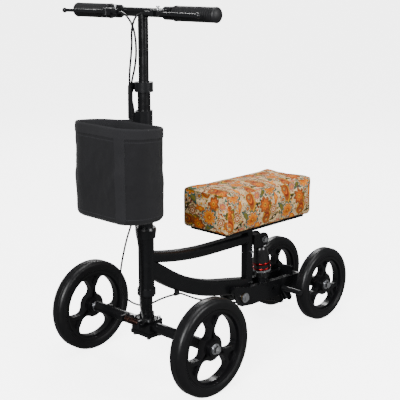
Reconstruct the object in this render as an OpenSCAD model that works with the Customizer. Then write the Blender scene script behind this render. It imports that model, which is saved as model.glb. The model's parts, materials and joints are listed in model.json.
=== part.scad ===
// Steerable knee scooter with a padded knee rest, four wheels, a front basket,
// a folding and telescoping steering column, two hand brakes and a sprung rear swing arm.
// Millimetres. +Z is up, the scooter faces -Y, and +X is the rider's left side.
// The origin is on the floor under the middle of the scooter.

/* [Overall] */
// Distance from the steering axis to the rear axle
wheelbase = 629; // [620:1:760]
// Distance between the middles of the two front wheels
front_track = 450; // [400:1:560]
// Distance between the middles of the two rear wheels
rear_track = 182; // [176:1:260]
// Height of the handlebar above the floor
handlebar_z = 924; // [900:1:960]
// Length of the handlebar, without the domed grip ends
handlebar_len = 484; // [420:1:600]

/* [Front wheels] */
// Outside diameter of a front tyre
front_wheel_d = 250; // [230:1:300]
// Width of a front tyre
front_tyre_w = 40; // [34:1:50]
// Height of a front tyre's rubber, from rim to tread
front_tyre_h = 27; // [20:1:32]
// Width across a front hub
front_hub_w = 40; // [34:1:46]

/* [Rear wheels] */
// Outside diameter of a rear tyre
rear_wheel_d = 218; // [200:1:250]
// Width of a rear tyre
rear_tyre_w = 37; // [32:1:40]
// Height of a rear tyre's rubber, from rim to tread
rear_tyre_h = 25; // [20:1:28]
// Width across a rear hub
rear_hub_w = 38; // [34:1:40]

/* [Wheel details] */
// Diameter of both axles
axle_d = 12; // [10:0.5:14]
// Outside diameter of a wheel bearing
wheel_bearing_d = 28; // [26:1:32]
// Width of a wheel bearing
wheel_bearing_w = 8; // [6:1:10]
// Number of forked spokes in a wheel
spokes = 3; // [3:1:5]
// Thickness of the spoked web
spoke_t = 20; // [14:1:26]

/* [Frame] */
// Outside diameter of the head tube
head_tube_d = 41; // [38:0.5:46]
// Length of the head tube
head_tube_len = 135; // [120:1:140]
// Height of the lower end of the head tube above the floor
head_tube_z = 225; // [220:1:235]
// Width of the upper tube
upper_tube_w = 38; // [30:1:42]
// Height of the upper tube
upper_tube_h = 28; // [24:1:34]
// Width of the lower tube
lower_tube_w = 40; // [32:1:42]
// Height of the lower tube
lower_tube_h = 44; // [38:1:48]
// Wall of every frame tube
tube_wall = 2.5; // [1.5:0.1:3.5]
// Outside size of the square seat tube
seat_tube_w = 25; // [24:0.5:28]
// Distance from the steering axis to the middle of the seat tube
seat_tube_y = 392; // [385:1:400]

/* [Steering] */
// Outside diameter of the steerer tube
steerer_d = 30.5; // [28:0.1:31.8]
// Outside diameter of the front axle tube
axle_tube_d = 29; // [26:0.5:32]
// Height of the column's fold pivot above the floor
fold_z = 500; // [490:1:510]
// Distance from the steering axis back to the fold pivot
fold_y = 29; // [28:0.5:32]
// Outside diameter of the outer stem tube
outer_stem_d = 32; // [31:0.2:34]
// Outside diameter of the inner, sliding stem tube
inner_stem_d = 25.4; // [24:0.1:26]
// Outside diameter of the handlebar
handlebar_d = 22.2; // [20:0.1:25.4]
// Outside diameter of a grip
grip_d = 37; // [32:0.5:38]
// Length of a grip
grip_len = 128; // [110:1:140]

/* [Seat] */
// Width of the knee cushion
cushion_w = 174; // [150:1:210]
// Length of the knee cushion
cushion_l = 364; // [330:1:380]
// Thickness of the knee cushion
cushion_h = 113; // [80:1:125]
// Height of the cushion's top above the floor, with the seat at its lowest
seat_top_z = 445; // [440:1:470]
// Outside size of the square seat post
seat_post_w = 19.6; // [18:0.1:19.8]

/* [Basket] */
// Width of the basket
basket_w = 236; // [200:1:260]
// Depth of the basket from back to front
basket_d = 140; // [130:1:170]
// Height of the basket
basket_h = 217; // [180:1:225]
// Corner radius of the basket
basket_r = 60; // [30:1:64]
// Thickness of the basket's wall
basket_wall = 4; // [2:0.5:6]

/* [Swing arm and shock] */
// Distance from the steering axis to the swing arm's pivot
pivot_y = 341; // [338:1:344]
// Height of the swing arm's pivot above the floor
pivot_z = 122; // [120:1:124]
// Width of the gap between the swing arm's two legs
leg_gap = 44; // [43:0.5:46]
// Thickness of a swing arm leg
leg_t = 16; // [12:1:18]
// Distance between the shock's two eyes
shock_len = 151; // [146:1:154]

/* [Hidden] */

$fn = 48;
// Clearances: a running fit on a pin, a sliding gap between parts that move, a cut's overrun
fit = 0.05;
gap = 0.3;
over = 1;

// Finishes
black = "#2b2c30";
satin = "#3a3b40";
steel = "silver";
rubber = "#1d1d1f";

// The steering axis stands at column_y, so that the origin is under the middle of the scooter
basket_back = 28;
strap_t = 1.6;
front_reach = basket_back + basket_d;
rear_reach = wheelbase + rear_wheel_d / 2;
column_y = -(rear_reach - front_reach) / 2;

// Heights up the steering column
front_z = front_wheel_d / 2;
head_top_z = head_tube_z + head_tube_len;
cup_h = 22;
lower_cup_h = 16.5;
bearing_h = 12;
head_bore_d = steerer_d + 4;
bearing_d = steerer_d + 12;
steerer_wall = 3;
steerer_foot_z = front_z + axle_tube_d / 2 + 1;
front_pull_y = -44;
front_pull_z = 145;
arm_pivot_x = -26;
arm_pivot_y = -30;
clamp_half_y = 23;
clamp_bolts = [for (x = [-26, 26], y = [-18.5, 18.5]) [x, y]];
base_top_z = fold_z - 8;
base_h = 30;
flange_h = 18;
flange_d = 42;
lug_r = 8;
lug_t = 6;
knuckle_w = 17.4;
fold_pin_d = 8;
lug_out = knuckle_w / 2 + gap + lug_t;
cam_r = 6.5;
cam_w = 12;
cam_pin_d = 4;
fold_cam_x = -lug_out - 9;
outer_stem_z = base_top_z + gap;
outer_stem_top = 748;
stem_slide_d = inner_stem_d + 2 * fit * 2;
inner_stem_bottom = 622;
clamp_z = 732;
clamp_h = 24;
clamp_d = 46;
qr_x = -27;
qr_y = -17;
qr_z = clamp_z + 12;
bracket_z = 648;
bracket_h = 38;
basket_z = 438;
// The basket hangs a little to the rider's left of the column
basket_x = 15;

// Wheels
front_rim_r = front_wheel_d / 2 - front_tyre_h;
rear_rim_r = rear_wheel_d / 2 - rear_tyre_h;
front_hub_out = front_track / 2 + front_hub_w / 2;
rear_hub_out = rear_track / 2 + rear_hub_w / 2;
front_hub_in = front_track / 2 - front_hub_w / 2;
rear_hub_in = rear_track / 2 - rear_hub_w / 2;
rear_z = rear_wheel_d / 2;
rim_depth = 10;
hub_d = wheel_bearing_d + 14;
spoke_a = 15;
washer_t = 2;
nut_t = 7;
nut_d = 21;
axle_end = 4;

// Frame tubes: each follows an arc about a centre above it, then runs straight
upper_arc_r = 1000;
upper_straight_y = 235;
upper_z = 281.5;
lower_arc_r = 560;
lower_start_a = 33;
lower_end_a = 10.5;
lower_end_y = 263;
lower_end_z = 162.9;
tube_corner = 9;
// The straight lengths are a hair larger than the bend between them, so each meets it in a clean step
bend_step = 1.003;
seat_front_y = seat_tube_y - seat_tube_w / 2;
seat_back_y = seat_tube_y + seat_tube_w / 2;
seat_tube_bottom = 128;
seat_tube_top = 318;

// Swing arm and shock
leg_in = leg_gap / 2;
leg_out = leg_in + leg_t;
pivot_tube_d = 30;
pivot_bolt_d = 12;
bush_d = 20;
rear_tube_d = 32;
shock_top_y = 447;
shock_top_z = 268;
shock_tilt = 8;
shock_eye_d = 22;
shock_eye_w = 24;
shock_pin_d = 10;
shock_bottom_y = shock_top_y + shock_len * sin(shock_tilt);
shock_bottom_z = shock_top_z - shock_len * cos(shock_tilt);
shock_bore_d = 30;
cheek_t = 5;
can_bottom = 118;
can_foot_d = leg_gap - 3;
brake_bar_y = 533;
brake_bar_z = 79;
brake_bar_d = 12;
brake_arm_in = leg_out + 5;
brake_shoe_d = 16;
brake_shoe_z = 112;
brake_shoe_y = wheelbase - sqrt(pow(rear_z, 2) - pow(brake_shoe_z - rear_z, 2))
    - brake_shoe_d / 2 - 5;

// Seat
seat_bolt_z = [148, 240];
plate_t = 5;
cushion_z = seat_top_z - cushion_h;
plate_z = cushion_z - plate_t;
cushion_y = 397;
post_bottom = 136;

// Handlebar controls
perch_x = 94;
perch_w = 26;
lever_pivot_y = -36;
lever_pivot_d = 6;
lever_t = 8;
perch_d = handlebar_d + 10;
grip_x = handlebar_len / 2 - grip_len;
lever_tip_x = handlebar_len / 2 - 6;

// Cables
cable_d = 5;
cable_sides = 8;

// Route of the cable to the rear brake: from the right lever, down in front of the column,
// round behind the steerer and under the lower tube and the swing arm
rear_cable_route = [
    [-44, -38, 924], [-30, -41, 924], [-6, -46, 916], [12, -45, 896], [17, -40, 864],
    [14, -36, 825], [5, -34, 790], [-8, -31, 765], [-14, -30, 742], [-15.5, -26, 715],
    [-15.5, -24.5, 570], [-15.5, -24.5, 424], [-21, -29, 398], [-40, -32, 350], [-66, -30, 270],
    [-77, -24, 215], [-76, -8, 182], [-62, 8, 165], [-40, 22, 160], [-16, 30, 170],
    [2, 46, 183], [13, 66, 189], [15, 84, 189], [15, 94, 189], [15, 104, 189], [16, 130, 176],
    [16, 160, 160], [16, 200, 144], [16, 260, 131], [15, 310, 112], [14, 345, 99], [14, 400, 88],
    [15, 450, 84], [16, 492, 72], [16, 518, 60]];

// Route of the cable to the front brake: from the left lever, down beside the other cable
// and in front of the head tube to the brake at the foot of the steerer
front_cable_route = [
    [44, -38, 924], [30, -44, 922], [22, -51, 906], [14, -51, 880], [10, -46, 850],
    [2, -44, 810], [-4, -43, 780], [-9, -39, 745], [-9.5, -33, 715], [-9.5, -24.5, 685],
    [-9.5, -24.5, 570], [-9.5, -24.5, 424], [-5, -30, 400], [3, -34, 376], [8, -32, 350],
    [10, -29, 300], [10, -29, 240], [14, -36, 205], [26, -44, 180], [36, -47, 163],
    [37, -45.5, 150], [31, -44, 145], [20.5, -44, 145]];

// ---------- shared shapes ----------

// Moves a part that is drawn about the steering axis to its place
module place() {
    translate([0, column_y, 0]) children();
}

// The part and its mirror image on the other side
module both_sides() {
    children();
    mirror([1, 0, 0]) children();
}

// A rectangle with round corners, centred
module round_rect(w, h, r) {
    square([w - 2 * r, h], center = true);
    square([w, h - 2 * r], center = true);
    for (x = [-1, 1], y = [-1, 1]) {
        translate([x * (w / 2 - r), y * (h / 2 - r)]) circle(r);
    }
}

// The section of a hollow tube with round corners
module tube_section(w, h) {
    difference() {
        round_rect(w, h, tube_corner);
        round_rect(w - 2 * tube_wall, h - 2 * tube_wall, tube_corner - tube_wall);
    }
}

// A straight round bar along X
module bar_x(d, x1, x2, y, z) {
    translate([x1, y, z]) rotate([0, 90, 0]) cylinder(d = d, h = x2 - x1);
}

// A hexagonal nut or bolt head along X
module hex_x(d, x1, x2, y, z) {
    translate([x1, y, z]) rotate([0, 90, 0]) cylinder(d = d, h = x2 - x1, $fn = 6);
}

// A flat plate, drawn as [y, z], standing across X
module plate_x(x1, x2) {
    translate([x1, 0, 0]) rotate([90, 0, 90]) linear_extrude(x2 - x1) children();
}

// A section swept along an arc in the YZ plane, from angle a1 to a2 off the lowest point
module arc_sweep(y, z, r, a1, a2) {
    translate([0, y, z]) rotate([0, 90, 0])
        rotate_extrude(angle = a1 - a2, start = -a1, $fn = 180)
            translate([r, 0]) children();
}

// Points half-way along each stretch of a route soften its corners, one round of corner cutting
function softened(p) = concat([p[0]],
    [for (i = [1:len(p) - 2]) each [0.75 * p[i] + 0.25 * p[i - 1], 0.75 * p[i] + 0.25 * p[i + 1]]],
    [p[len(p) - 1]]);
function unit(v) = v / norm(v);
function heading(p, i) = unit(p[min(i + 1, len(p) - 1)] - p[max(i - 1, 0)]);

// Each ring's side direction is the last one's, turned only as far as the route turns
function sides(p, i, s) = i == len(p) ? [] :
    let (t = heading(p, i), u = unit(s - (s * t) * t)) concat([u], sides(p, i + 1, u));

// A closed tube with flat sides, swept along the points
module sweep(p, d, n, side) {
    s = sides(p, 0, side);
    rings = [for (i = [0:len(p) - 1])
        let (t = heading(p, i), v = cross(t, s[i]))
            for (k = [0:n - 1]) p[i] + d / 2 * (cos(360 * k / n) * s[i] + sin(360 * k / n) * v)];
    faces = [for (i = [0:len(p) - 2], k = [0:n - 1])
        let (a = i * n + k, b = i * n + (k + 1) % n) each [[a, a + n, b], [b, a + n, b + n]]];
    first = [for (k = [0:n - 1]) k];
    last = [for (k = [0:n - 1]) len(p) * n - 1 - k];
    polyhedron(rings, concat(faces, [first], [last]));
}

// ---------- frame ----------

// The upper tube's outside or its hollow section, swept from the head tube to the seat tube
module upper_tube_path() {
    arc_sweep(upper_straight_y, upper_z + upper_arc_r, upper_arc_r,
              asin(upper_straight_y / upper_arc_r), 0) children();
    translate([0, upper_straight_y, upper_z]) rotate([90, 0, 180])
        linear_extrude(seat_front_y - upper_straight_y) rotate(90) children();
}

// The lower tube: straight down from the head tube, round its bend, straight to the seat tube
module lower_tube_path() {
    cy = lower_end_y + lower_arc_r * sin(lower_end_a);
    cz = lower_end_z + lower_arc_r * cos(lower_end_a);
    start_y = cy - lower_arc_r * sin(lower_start_a);
    start_z = cz - lower_arc_r * cos(lower_start_a);
    arc_sweep(cy, cz, lower_arc_r, lower_start_a, lower_end_a) children();
    translate([0, start_y, start_z]) rotate([90 - lower_start_a, 0, 0])
        linear_extrude(start_y / cos(lower_start_a) + 4) rotate(90) scale(bend_step) children();
    translate([0, lower_end_y, lower_end_z]) rotate([90 - lower_end_a, 0, 0]) mirror([0, 0, 1])
        linear_extrude((seat_tube_y - lower_end_y) / cos(lower_end_a))
            rotate(90) scale(bend_step) children();
}

module head_core() {
    translate([0, 0, head_tube_z - 20]) cylinder(d = head_tube_d, h = head_tube_len + 40);
}

module head_tube() {
    color(black) place() difference() {
        translate([0, 0, head_tube_z]) cylinder(d = head_tube_d, h = head_tube_len);
        translate([0, 0, head_tube_z - over]) cylinder(d = head_bore_d, h = head_tube_len + 2 * over);
    }
}

module upper_tube() {
    color(black) place() difference() {
        upper_tube_path() tube_section(upper_tube_h, upper_tube_w);
        head_core();
        translate([-50, -100, 200]) cube([100, 100, 200]);
    }
}

module lower_tube() {
    color(black) place() difference() {
        lower_tube_path() tube_section(lower_tube_h, lower_tube_w);
        head_core();
        upper_tube_path() square([upper_tube_h, upper_tube_w], center = true);
        translate([-50, -100, 100]) cube([100, 100, 300]);
        translate([-50, seat_front_y, 50]) cube([100, 100, 200]);
        bar_x(pivot_tube_d, -40, 40, pivot_y, pivot_z);
    }
}

module seat_tube() {
    bore = seat_post_w + 2 * gap;
    color(black) place() difference() {
        union() {
            translate([0, seat_tube_y, seat_tube_bottom])
                linear_extrude(seat_tube_top - seat_tube_bottom) round_rect(seat_tube_w, seat_tube_w, 3);
            translate([0, seat_tube_y, seat_tube_top - 14])
                linear_extrude(14) round_rect(seat_tube_w + 8, seat_tube_w + 0, 3);
        }
        translate([0, seat_tube_y, seat_tube_bottom - over])
            linear_extrude(seat_tube_top) square(bore, center = true);
        for (z = seat_bolt_z) bar_x(6, bore / 2 - 0.5, seat_tube_w, seat_tube_y + 4, z);
    }
}

module headset_cups() {
    color(satin) place() {
        translate([0, 0, head_top_z]) difference() {
            cylinder(d1 = 49, d2 = 55, h = cup_h);
            translate([0, 0, -over]) cylinder(d = head_bore_d, h = cup_h + 2 * over);
            translate([0, 0, cup_h - bearing_h]) cylinder(d = bearing_d, h = bearing_h + over);
        }
        translate([0, 0, head_tube_z - lower_cup_h]) difference() {
            cylinder(d = 48, h = lower_cup_h);
            translate([0, 0, -over]) cylinder(d = head_bore_d, h = lower_cup_h + 2 * over);
            translate([0, 0, -over]) cylinder(d = bearing_d, h = bearing_h + over);
        }
    }
}

module headset_bearings() {
    color(steel) place() {
        for (z = [head_top_z + cup_h - bearing_h, head_tube_z - lower_cup_h]) {
            translate([0, 0, z]) difference() {
                cylinder(d = bearing_d, h = bearing_h);
                translate([0, 0, -over]) cylinder(d = steerer_d + 2 * fit, h = bearing_h + 2 * over);
            }
        }
    }
}

module cheek_shape() {
    difference() {
        union() {
            translate([shock_top_y, shock_top_z]) circle(20);
            translate([seat_back_y, shock_top_z - 20]) square([shock_top_y - seat_back_y, 40]);
        }
        translate([shock_top_y, shock_top_z]) circle(d = shock_pin_d);
    }
}

module shock_mount() {
    inner = shock_eye_w / 2 + gap;
    color(black) place() {
        both_sides() plate_x(inner, inner + cheek_t) cheek_shape();
        translate([-inner, seat_back_y, shock_top_z + 14]) cube([2 * inner, 24, 6]);
    }
}

module pivot_tube() {
    half = leg_in - gap;
    color(black) place() difference() {
        bar_x(pivot_tube_d, -half, half, pivot_y, pivot_z);
        bar_x(pivot_bolt_d, -half - over, half + over, pivot_y, pivot_z);
    }
}

// A bolt across the scooter: shank, washer and head on the left, washer and nut on the right
module cross_bolt(d, half, y, z, washer_d) {
    bar_x(d, -half - 9, half + 3, y, z);
    for (s = [-1, 1]) difference() {
        bar_x(washer_d, s * (half + 1.25) - 1, s * (half + 1.25) + 1, y, z);
        bar_x(d, s * (half + 1.25) - 2, s * (half + 1.25) + 2, y, z);
    }
    difference() {
        hex_x(d * 1.6, half + 2.25, half + 8, y, z);
        bar_x(d, half + 1, half + 3, y, z);
    }
    difference() {
        hex_x(d * 1.6, -half - 7.5, -half - 2.25, y, z);
        bar_x(d, -half - 12, -half, y, z);
    }
}

module frame_bolts() {
    shock_half = shock_eye_w / 2 + gap + cheek_t - 0.25;
    color(steel) place() {
        cross_bolt(pivot_bolt_d, leg_out + 2.3, pivot_y, pivot_z, 28);
        cross_bolt(shock_pin_d, shock_half, shock_top_y, shock_top_z, 18);
        for (z = seat_bolt_z) {
            bar_x(6, seat_post_w / 2 + gap - 0.1, seat_tube_w / 2, seat_tube_y + 4, z);
            bar_x(10, seat_tube_w / 2, seat_tube_w / 2 + 4, seat_tube_y + 4, z);
        }
    }
}

module cable_clip() {
    color(black) place() difference() {
        translate([15, 101, 189]) rotate([90, 0, 0]) linear_extrude(14) difference() {
            union() {
                circle(d = cable_d + 5);
                translate([-2.5, 0]) square([5, 14]);
            }
            circle(d = cable_d + 2.4);
        }
        lower_tube_path() square([lower_tube_h, lower_tube_w], center = true);
    }
}

// ---------- steering ----------

module steerer() {
    top = base_top_z - 2;
    race_z = head_tube_z - lower_cup_h - gap;
    color(black) place() difference() {
        union() {
            translate([0, 0, steerer_foot_z]) cylinder(d = steerer_d, h = top - steerer_foot_z);
            translate([0, 0, race_z - 5]) cylinder(d = 40, h = 5);
        }
        translate([0, 0, steerer_foot_z - over])
            cylinder(d = steerer_d - 2 * steerer_wall, h = top - steerer_foot_z + 2 * over);
    }
}

module headset_nut() {
    z = head_top_z + cup_h + gap;
    color(satin) place() translate([0, 0, z]) difference() {
        union() {
            cylinder(d1 = 55, d2 = 50, h = 6);
            cylinder(d = 38, h = 18);
        }
        translate([0, 0, -over]) cylinder(d = steerer_d, h = 20 + over);
    }
}

module fold_base() {
    foot = base_top_z - base_h;
    color(black) place() difference() {
        union() {
            translate([0, 0, foot]) cylinder(d = flange_d, h = base_h);
            for (s = [-1, 1]) {
                x = s * (knuckle_w / 2 + gap + lug_t / 2);
                plate_x(x - lug_t / 2, x + lug_t / 2) union() {
                    translate([fold_y, fold_z]) circle(lug_r);
                    translate([fold_y - lug_r, foot + 4]) square([2 * lug_r, fold_z - foot - 4]);
                    translate([8, foot + 4]) square([fold_y - 8, base_h - 4]);
                }
            }
        }
        translate([0, 0, foot - over]) cylinder(d = steerer_d, h = base_h + 2 * over);
        bar_x(fold_pin_d, -30, 30, fold_y, fold_z);
    }
}

// The cam lever that clamps the fold hinge, closed down beside the steerer
module fold_lever() {
    color(steel) place() translate([0, fold_y + cam_w / 2, fold_z]) rotate([90, 0, 0])
        linear_extrude(cam_w) difference() {
            union() {
                translate([fold_cam_x, 0]) circle(cam_r);
                polygon([[fold_cam_x - cam_r, 0], [fold_cam_x + 2, -cam_r + 0.5], [fold_cam_x + 2, -66],
                         [fold_cam_x - 1, -72], [fold_cam_x - cam_r, -66]]);
            }
            translate([fold_cam_x, 0]) circle(d = cam_pin_d + 2 * fit);
        }
}

// The clamp that holds the front axle tube to the foot of the steerer
module axle_clamp() {
    color(black) place() difference() {
        union() {
            translate([-34, -clamp_half_y, front_z - 14]) cube([68, 2 * clamp_half_y, 34]);
            translate([0, 0, front_z + 18]) cylinder(d = steerer_d + 8, h = 16);
            translate([-36, -clamp_half_y - 2, front_z - 24]) cube([72, 2 * clamp_half_y + 4, 9.7]);
            translate([20, front_pull_y - 8, front_z + 8]) cube([6, -front_pull_y + 8 - clamp_half_y, 12]);
            translate([20, front_pull_y - 8, front_z + 8]) cube([6, 16, 20]);
            translate([arm_pivot_x - 5, arm_pivot_y - 5, front_z + 4]) cube([10, 13, 16]);
        }
        bar_x(axle_tube_d, -50, 50, 0, front_z);
        translate([0, 0, steerer_foot_z]) cylinder(d = steerer_d, h = 60);
        for (b = clamp_bolts) translate([b.x, b.y, 0]) cylinder(d = 6, h = 200);
        bar_x(cable_d + 2, 19, 40, front_pull_y, front_pull_z);
        translate([arm_pivot_x, arm_pivot_y, front_z + 6]) cylinder(d = 5, h = 200);
    }
}

module steering_bolts() {
    top = front_z + 20;
    bottom = front_z - 24;
    color(steel) place() {
        for (b = clamp_bolts) {
            translate([b.x, b.y, bottom - 5]) cylinder(d = 6, h = top - bottom + 5);
            translate([b.x, b.y, top]) cylinder(d = 10, h = 5);
            translate([b.x, b.y, bottom - 5]) difference() {
                cylinder(d = 11, h = 5, $fn = 6);
                translate([0, 0, -over]) cylinder(d = 6, h = 8);
            }
        }
        bar_x(fold_pin_d, -lug_out - 1, lug_out + 5, fold_y, fold_z);
        difference() {
            bar_x(14, lug_out, lug_out + 5, fold_y, fold_z);
            bar_x(fold_pin_d, 0, 40, fold_y, fold_z);
        }
        bar_x(14, fold_cam_x + cam_r + 0.2, -lug_out - 1, fold_y, fold_z);
        translate([fold_cam_x, fold_y, fold_z]) rotate([90, 0, 0])
            cylinder(d = cam_pin_d, h = cam_w + 3, center = true);
        translate([arm_pivot_x, arm_pivot_y, front_z + 6]) cylinder(d = 5, h = 24);
        translate([arm_pivot_x, arm_pivot_y, front_z + 26 + gap]) cylinder(d = 9, h = 3.5);
    }
}

module front_axle_tube() {
    half = front_hub_in - 8;
    color(black) place() difference() {
        bar_x(axle_tube_d, -half, half, 0, front_z);
        bar_x(axle_tube_d - 6, -half + 18, half - 18, 0, front_z);
        bar_x(axle_d, -half - over, half + over, 0, front_z);
    }
}

// An axle with its inner spacers, outer washers and domed nuts
module axle(half_tube, hub_in, hub_out, y, z) {
    bar_x(axle_d, -hub_out - washer_t - nut_t, hub_out + washer_t + nut_t, y, z);
    both_sides() {
        difference() {
            bar_x(axle_d + 8, half_tube, hub_in - gap, y, z);
            bar_x(axle_d, half_tube - over, hub_in + over, y, z);
        }
        difference() {
            union() {
                bar_x(axle_d + 12, hub_out + gap, hub_out + washer_t, y, z);
                hex_x(nut_d, hub_out + washer_t, hub_out + washer_t + nut_t, y, z);
            }
            bar_x(axle_d, hub_out - over, hub_out + washer_t + nut_t + over, y, z);
        }
        translate([hub_out + washer_t + nut_t, y, z]) rotate([0, 90, 0])
            cylinder(d1 = axle_d + 3, d2 = axle_d - 4, h = axle_end);
    }
}

module front_axle() {
    color(steel) place() axle(front_hub_in - 8, front_hub_in, front_hub_out, 0, front_z);
}

// A small arm that the front cable pulls against a coil spring
module front_brake_arm() {
    color(steel) place() difference() {
        union() {
            translate([-40, front_pull_y - 10, front_pull_z - 9]) cube([4, 29, 18]);
            translate([-40, arm_pivot_y - 5, front_z + 20 + gap]) cube([40 + arm_pivot_x, 10, 5]);
            translate([arm_pivot_x, arm_pivot_y, front_z + 20 + gap]) cylinder(d = 10, h = 5);
        }
        translate([arm_pivot_x, arm_pivot_y, 0]) cylinder(d = 5 + 2 * fit, h = 300);
        bar_x(4, -50, -20, front_pull_y, front_pull_z);
    }
}

function helix(r, pitch, turns, steps) =
    [for (i = [0:turns * steps]) [r * cos(360 * i / steps), r * sin(360 * i / steps), pitch * i / steps]];

module front_brake_spring() {
    color("#5b3330") place() translate([-34.6, front_pull_y, front_pull_z]) rotate([0, 90, 0])
        sweep(helix(6.5, 5.9, 9, 12), 2, 6, [0, 1, 0]);
}

// ---------- folding stem ----------

module outer_stem() {
    color(black) place() difference() {
        union() {
            translate([0, 0, outer_stem_z]) cylinder(d = flange_d, h = flange_h);
            translate([0, 0, outer_stem_z]) cylinder(d = outer_stem_d, h = outer_stem_top - outer_stem_z);
            plate_x(-knuckle_w / 2, knuckle_w / 2) union() {
                translate([fold_y, fold_z]) circle(lug_r - 0.4);
                translate([12, outer_stem_z + 0.5]) square([fold_y - 12, lug_r + 7]);
            }
        }
        translate([0, 0, outer_stem_z + flange_h]) cylinder(d = stem_slide_d, h = 400);
        bar_x(fold_pin_d + 2 * fit, -30, 30, fold_y, fold_z);
    }
}

module height_clamp() {
    color(satin) place() difference() {
        union() {
            translate([0, 0, clamp_z]) cylinder(d = clamp_d, h = clamp_h);
            translate([qr_x - 7, -9, qr_z - 9]) cube([18, 18, 18]);
            translate([qr_x, 9, qr_z]) rotate([-90, 0, 0]) cylinder(d = 11, h = 6);
            translate([qr_x, -9, qr_z]) rotate([90, 0, 0]) cylinder(d = 6, h = -qr_y - 9 - cam_r - gap);
            bar_x(cam_pin_d, qr_x - cam_w / 2 - 2, qr_x + cam_w / 2 + 2, qr_y, qr_z);
            for (x = [-cam_w / 2 - 2, cam_w / 2 + gap])
                translate([qr_x + x, qr_y - 2, qr_z - 3]) cube([1.7, 10, 6]);
        }
        translate([0, 0, clamp_z - over]) cylinder(d = outer_stem_d, h = outer_stem_top - clamp_z + over);
        translate([0, 0, clamp_z]) cylinder(d = inner_stem_d + 2 * gap, h = clamp_h + over);
        translate([-60, -1, clamp_z - over]) cube([50, 2, clamp_h + 2 * over]);
    }
}

// The cam lever of the height clamp, closed down along the stem
module qr_lever() {
    color(satin) place() translate([qr_x - cam_w / 2, 0, 0]) rotate([90, 0, 90])
        linear_extrude(cam_w) difference() {
            union() {
                translate([qr_y, qr_z]) circle(cam_r);
                polygon([[qr_y - cam_r, qr_z], [qr_y + 4, qr_z - 4], [qr_y - 1, qr_z - 16],
                         [qr_y - 1, qr_z - 78], [qr_y - 4, qr_z - 83], [qr_y - 7.5, qr_z - 78]]);
            }
            translate([qr_y, qr_z]) circle(d = cam_pin_d + 2 * fit);
        }
}

// The bracket on the stem, whose plate carries the back of the basket
module basket_bracket() {
    plate_z = basket_z + basket_h - 46;
    color(satin) place() difference() {
        union() {
            translate([0, 0, bracket_z]) cylinder(d = outer_stem_d + 10, h = bracket_h);
            translate([-4, -basket_back + gap, bracket_z]) cube([20, basket_back - 10, bracket_h]);
            translate([-4, -basket_back + gap, plate_z]) cube([44, 2.5, bracket_z - plate_z + 2]);
        }
        translate([0, 0, bracket_z - over]) cylinder(d = outer_stem_d, h = bracket_h + 2 * over);
        translate([-40, -40, bracket_z - 20]) cube([36, 25, 80]);
    }
}

module basket_plan(grow) {
    w = basket_w + 2 * grow;
    d = basket_d + 2 * grow;
    translate([basket_x, -basket_back - basket_d / 2]) round_rect(w, d, basket_r + grow);
}

module basket() {
    color("#3d3d42") place() translate([0, 0, basket_z]) difference() {
        linear_extrude(basket_h) basket_plan(0);
        translate([0, 0, basket_wall]) linear_extrude(basket_h) basket_plan(-basket_wall);
    }
}

// Webbing bands up the two front corners, and the strap from a corner back to the stem
module basket_straps() {
    cx = basket_w / 2 - basket_r;
    cy = -basket_back - basket_d + basket_r;
    color("#2a2a2e") place() {
        difference() {
            intersection() {
                translate([0, 0, basket_z]) linear_extrude(basket_h) basket_plan(strap_t);
                translate([basket_x, 0, 0]) both_sides() translate([cx, cy, basket_z]) rotate([0, 0, -50])
                    translate([0, -14, 0]) cube([basket_r + 10, 28, basket_h]);
            }
            translate([0, 0, basket_z - over]) linear_extrude(basket_h + 2 * over) basket_plan(0);
        }
        translate([basket_x + cx, cy, basket_z + basket_h]) rotate([0, 0, -50])
            translate([basket_r - basket_wall - 4, -14, 0]) cube([basket_wall + 4 + strap_t, 28, strap_t]);
    }
}

// ---------- handlebar ----------

module inner_stem() {
    top = handlebar_z;
    color(black) place() difference() {
        translate([0, 0, inner_stem_bottom]) cylinder(d = inner_stem_d, h = top - inner_stem_bottom);
        translate([0, 0, inner_stem_bottom - over])
            cylinder(d = inner_stem_d - 4, h = top - inner_stem_bottom - 20);
        bar_x(handlebar_d, -40, 40, 0, handlebar_z);
    }
}

module handlebar() {
    color(black) place() difference() {
        bar_x(handlebar_d, -handlebar_len / 2, handlebar_len / 2, 0, handlebar_z);
        bar_x(handlebar_d - 4, -handlebar_len / 2 - over, handlebar_len / 2 + over, 0, handlebar_z);
    }
}

// A ribbed grip with a domed end
module grip() {
    ribs = 9;
    end_x = handlebar_len / 2;
    difference() {
        union() {
            bar_x(grip_d - 3, grip_x, end_x, 0, handlebar_z);
            bar_x(grip_d, grip_x, grip_x + 5, 0, handlebar_z);
            for (i = [1:ribs]) bar_x(grip_d, grip_x + i * 12, grip_x + i * 12 + 8, 0, handlebar_z);
            translate([end_x, 0, handlebar_z]) rotate([0, 90, 0]) cylinder(d1 = grip_d, d2 = 24, h = 9);
        }
        bar_x(handlebar_d, grip_x - over, end_x, 0, handlebar_z);
    }
}

module left_grip() {
    color(rubber) place() grip();
}

module right_grip() {
    color(rubber) place() mirror([1, 0, 0]) grip();
}

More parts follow.
